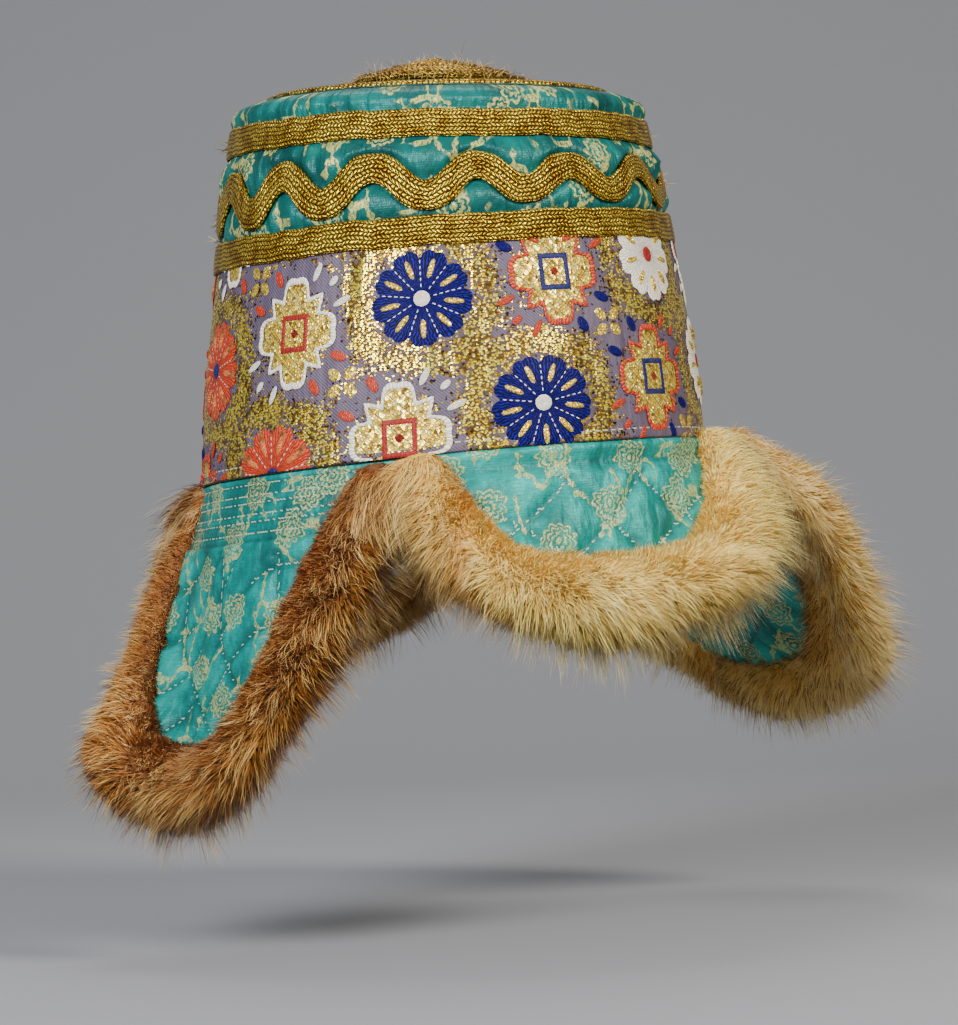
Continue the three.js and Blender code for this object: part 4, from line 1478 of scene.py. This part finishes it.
# Hairs lean away from the cloth and downwards, and gather in pointed locks.
def makeHair(name, flap, route, kind, count):
    keys = ("Length", "Width", "Pull", "Rings", "Rise", "Stray")
    length, width, pull, rings, rise, stray = (fur[kind + key] for key in keys)
    share = rng.uniform(0.002, 0.998, count)
    around = rng.uniform(*flap["hairFrom"], count) * math.pi
    point, normal, out, side, run, size = furSurface(flap, route, share, around)
    sin, cos = np.sin(around), np.cos(around)
    flow = out * (0.3 * (sin > 0) + 0.6 * sin)[:, None] + side * (0.28 + 0.72 * cos)[:, None]
    flow = flow + np.array([0, 0, -0.22])
    path = share * route[4]
    tuft = uneven(path / 7 + around * 1.3, 36, (1, 2, 3))
    flow = flow + normal * 0.3 * tuft[:, None]
    sway = 0.42 * uneven(path / 19 + around * 0.5, 32) + 0.16 * np.sin(path / 4.3 + around * 5)
    inside = smoothstep(-cos, -0.5, 0.8)
    upright = rise + 0.5 * inside[:, None]
    directions = unit(unit(flow) + normal * upright + run * sway[:, None] + rng.normal(0, stray, (count, 3)))
    lengths = length * (1 - 0.5 * inside) * (0.4 + 0.6 * size) * rng.uniform(0.55, 1.15, count)
    end = 1 - smoothstep(np.minimum(share, 1 - share), 0.02, 0.12)
    lengths = lengths * (1 + 0.45 * end * (rings > 1)) * (1 + 0.16 * tuft)
    droop = np.array([0, 0, -0.22]) - [0, 0, 0.5] * end[:, None]
    bends = side * 0.16 + droop + rng.normal(0, 0.14, (count, 3))
    if rings == 1:
        directions, bends = unit(directions + 0.5 * bends), 0.001 * bends
    locks = count // fur["hairsPerLock"]
    tree = KDTree(locks)
    centres = rng.integers(0, count, locks)
    for k, c in enumerate(centres):
        tree.insert(point[c], k)
    tree.balance()
    near = np.array([tree.find(p)[1] for p in point])
    lead = centres[near]
    leadTip = point[lead] + (directions[lead] + bends[lead]) * lengths[lead][:, None] * 1.05
    tip = point + (directions + bends) * lengths[:, None]
    bends = bends + (leadTip - tip) * pull * rng.uniform(0.3, 1.2, count)[:, None] / lengths[:, None]
    tones = 0.6 + 0.3 * uneven(path / 19 + np.cos(around), 33) + 0.15 * rng.normal(0, 1, locks)[near]
    tones = np.clip(tones + rng.normal(0, 0.1, count), 0, 1)
    if kind == "guard":
        tones -= 0.25 * smoothstep(cos, 0.3, 0.95) * (share < 0.75)
    elif name == "front":
        tones += 0.2 * smoothstep(share, 0.5, 0.9)
    # Painted shade: hairs on the strip's underside are darkened by the flap's share of painted shade.
    tones *= 1 - flap["paintedShade"] * smoothstep(-sin, 0.1, 0.8)
    warmth = np.clip(warmPatches(name, share, around) + rng.normal(0, 0.12, count), 0, 1)
    made = hairObject(
        f"{name}_{kind}_hair", point - normal * 0.8, directions, bends, lengths,
        width * rng.uniform(0.7, 1.25, count), normal, tones, warmth,
        hairMaterial(f"{name}_{kind}_fur", flap[kind], flap["warm"]), rings,
    )
    dress(made, slotOf[name])


slotOf = {"front": "cream_fur", "right_ear": "rust_fur", "left_ear": "tan_fur", "back": "brown_fur"}
for name, flap in flaps.items():
    makeFlap(name, flap)
    route = furRoute(flap)
    makeFurBacking(name, flap, route)
    makeHair(name, flap, route, "under", flap["underHairs"])
    makeHair(name, flap, route, "guard", flap["guardHairs"])
print("flaps and fur made")


# How far the floor lies below the rim, the light all round, and the lamps in watts.
studio = {"floor": -178, "ambient": 0.47, "key": 64, "fill": 80, "top": 16}
# The camera of the photograph: level, a little below the rim, turned to the hat's right front.
view = {
    "turn": -34.0, "distance": 1150, "height": -49.2, "focal": 106.6, "pan": 0.436, "tilt": 1.441,
    "roll": -2.6,
}


def makeCamera():
    data = bpy.data.cameras.new("camera")
    made = bpy.data.objects.new("camera", data)
    bpy.context.scene.collection.objects.link(made)
    turn = math.radians(view["turn"])
    back = Vector((math.sin(turn), -math.cos(turn), 0))
    place = back * view["distance"] * metre + Vector((0, 0, view["height"] * metre))
    level = Euler((math.pi / 2, 0, turn)).to_matrix()
    aim = Euler((math.radians(view["tilt"]), 0, 0)).to_matrix()
    pan = Matrix.Rotation(-math.radians(view["pan"]), 3, "Z")
    roll = Matrix.Rotation(math.radians(view["roll"]), 3, "Z")
    made.matrix_world = Matrix.Translation(place) @ (pan @ level @ aim @ roll).to_4x4()
    data.lens = view["focal"]
    data.sensor_width = 36
    data.clip_end = 50
    bpy.context.scene.camera = made


def areaLight(name, place, size, power, colour="#FFFFFF"):
    data = bpy.data.lights.new(name, "AREA")
    data.shape = "DISK"
    data.size = size
    data.energy = power
    data.color = linear(colour)[:3]
    made = bpy.data.objects.new(name, data)
    made.location = place
    made.rotation_euler = (-Vector(place)).to_track_quat("-Z", "Y").to_euler()
    bpy.context.scene.collection.objects.link(made)


# A pale floor that curves up behind the hat, and soft lamps.
def makeStage():
    made, tree, shader = newMaterial("pale_floor")
    connect(tree, shader, {"Base Color": linear("#88898C"), "Roughness": 0.9})
    bend = np.linspace(0, math.pi / 2, 24)
    run = np.concatenate([[-4000], 900 + 1500 * np.sin(bend), [2400]])
    rise = np.concatenate([[0], 1500 * (1 - np.cos(bend)), [5000]]) + studio["floor"]
    turn = math.radians(view["turn"])
    across = np.array([6000, -6000])[None, :]
    x = across * math.cos(turn) - run[:, None] * math.sin(turn)
    y = across * math.sin(turn) + run[:, None] * math.cos(turn)
    points = np.stack([x, y, rise[:, None] + 0 * x], -1)
    places = np.zeros((*points.shape[:2], 2))
    gridObject("floor", points, places, [made])
    world = bpy.data.worlds.new("studio")
    world.use_nodes = True
    background = world.node_tree.nodes["Background"]
    background.inputs[0].default_value = linear("#C4C6C9")
    background.inputs[1].default_value = studio["ambient"]
    bpy.context.scene.world = world
    areaLight("key", (0.35, -2.0, 1.05), 0.6, studio["key"], "#FFF8EE")
    areaLight("fill", (-1.8, -1.0, 0.75), 0.9, studio["fill"], "#F6F8FF")
    areaLight("top", (0.3, 0.6, 1.9), 1.2, studio["top"])


makeCamera()
makeStage()
print("camera and stage made")
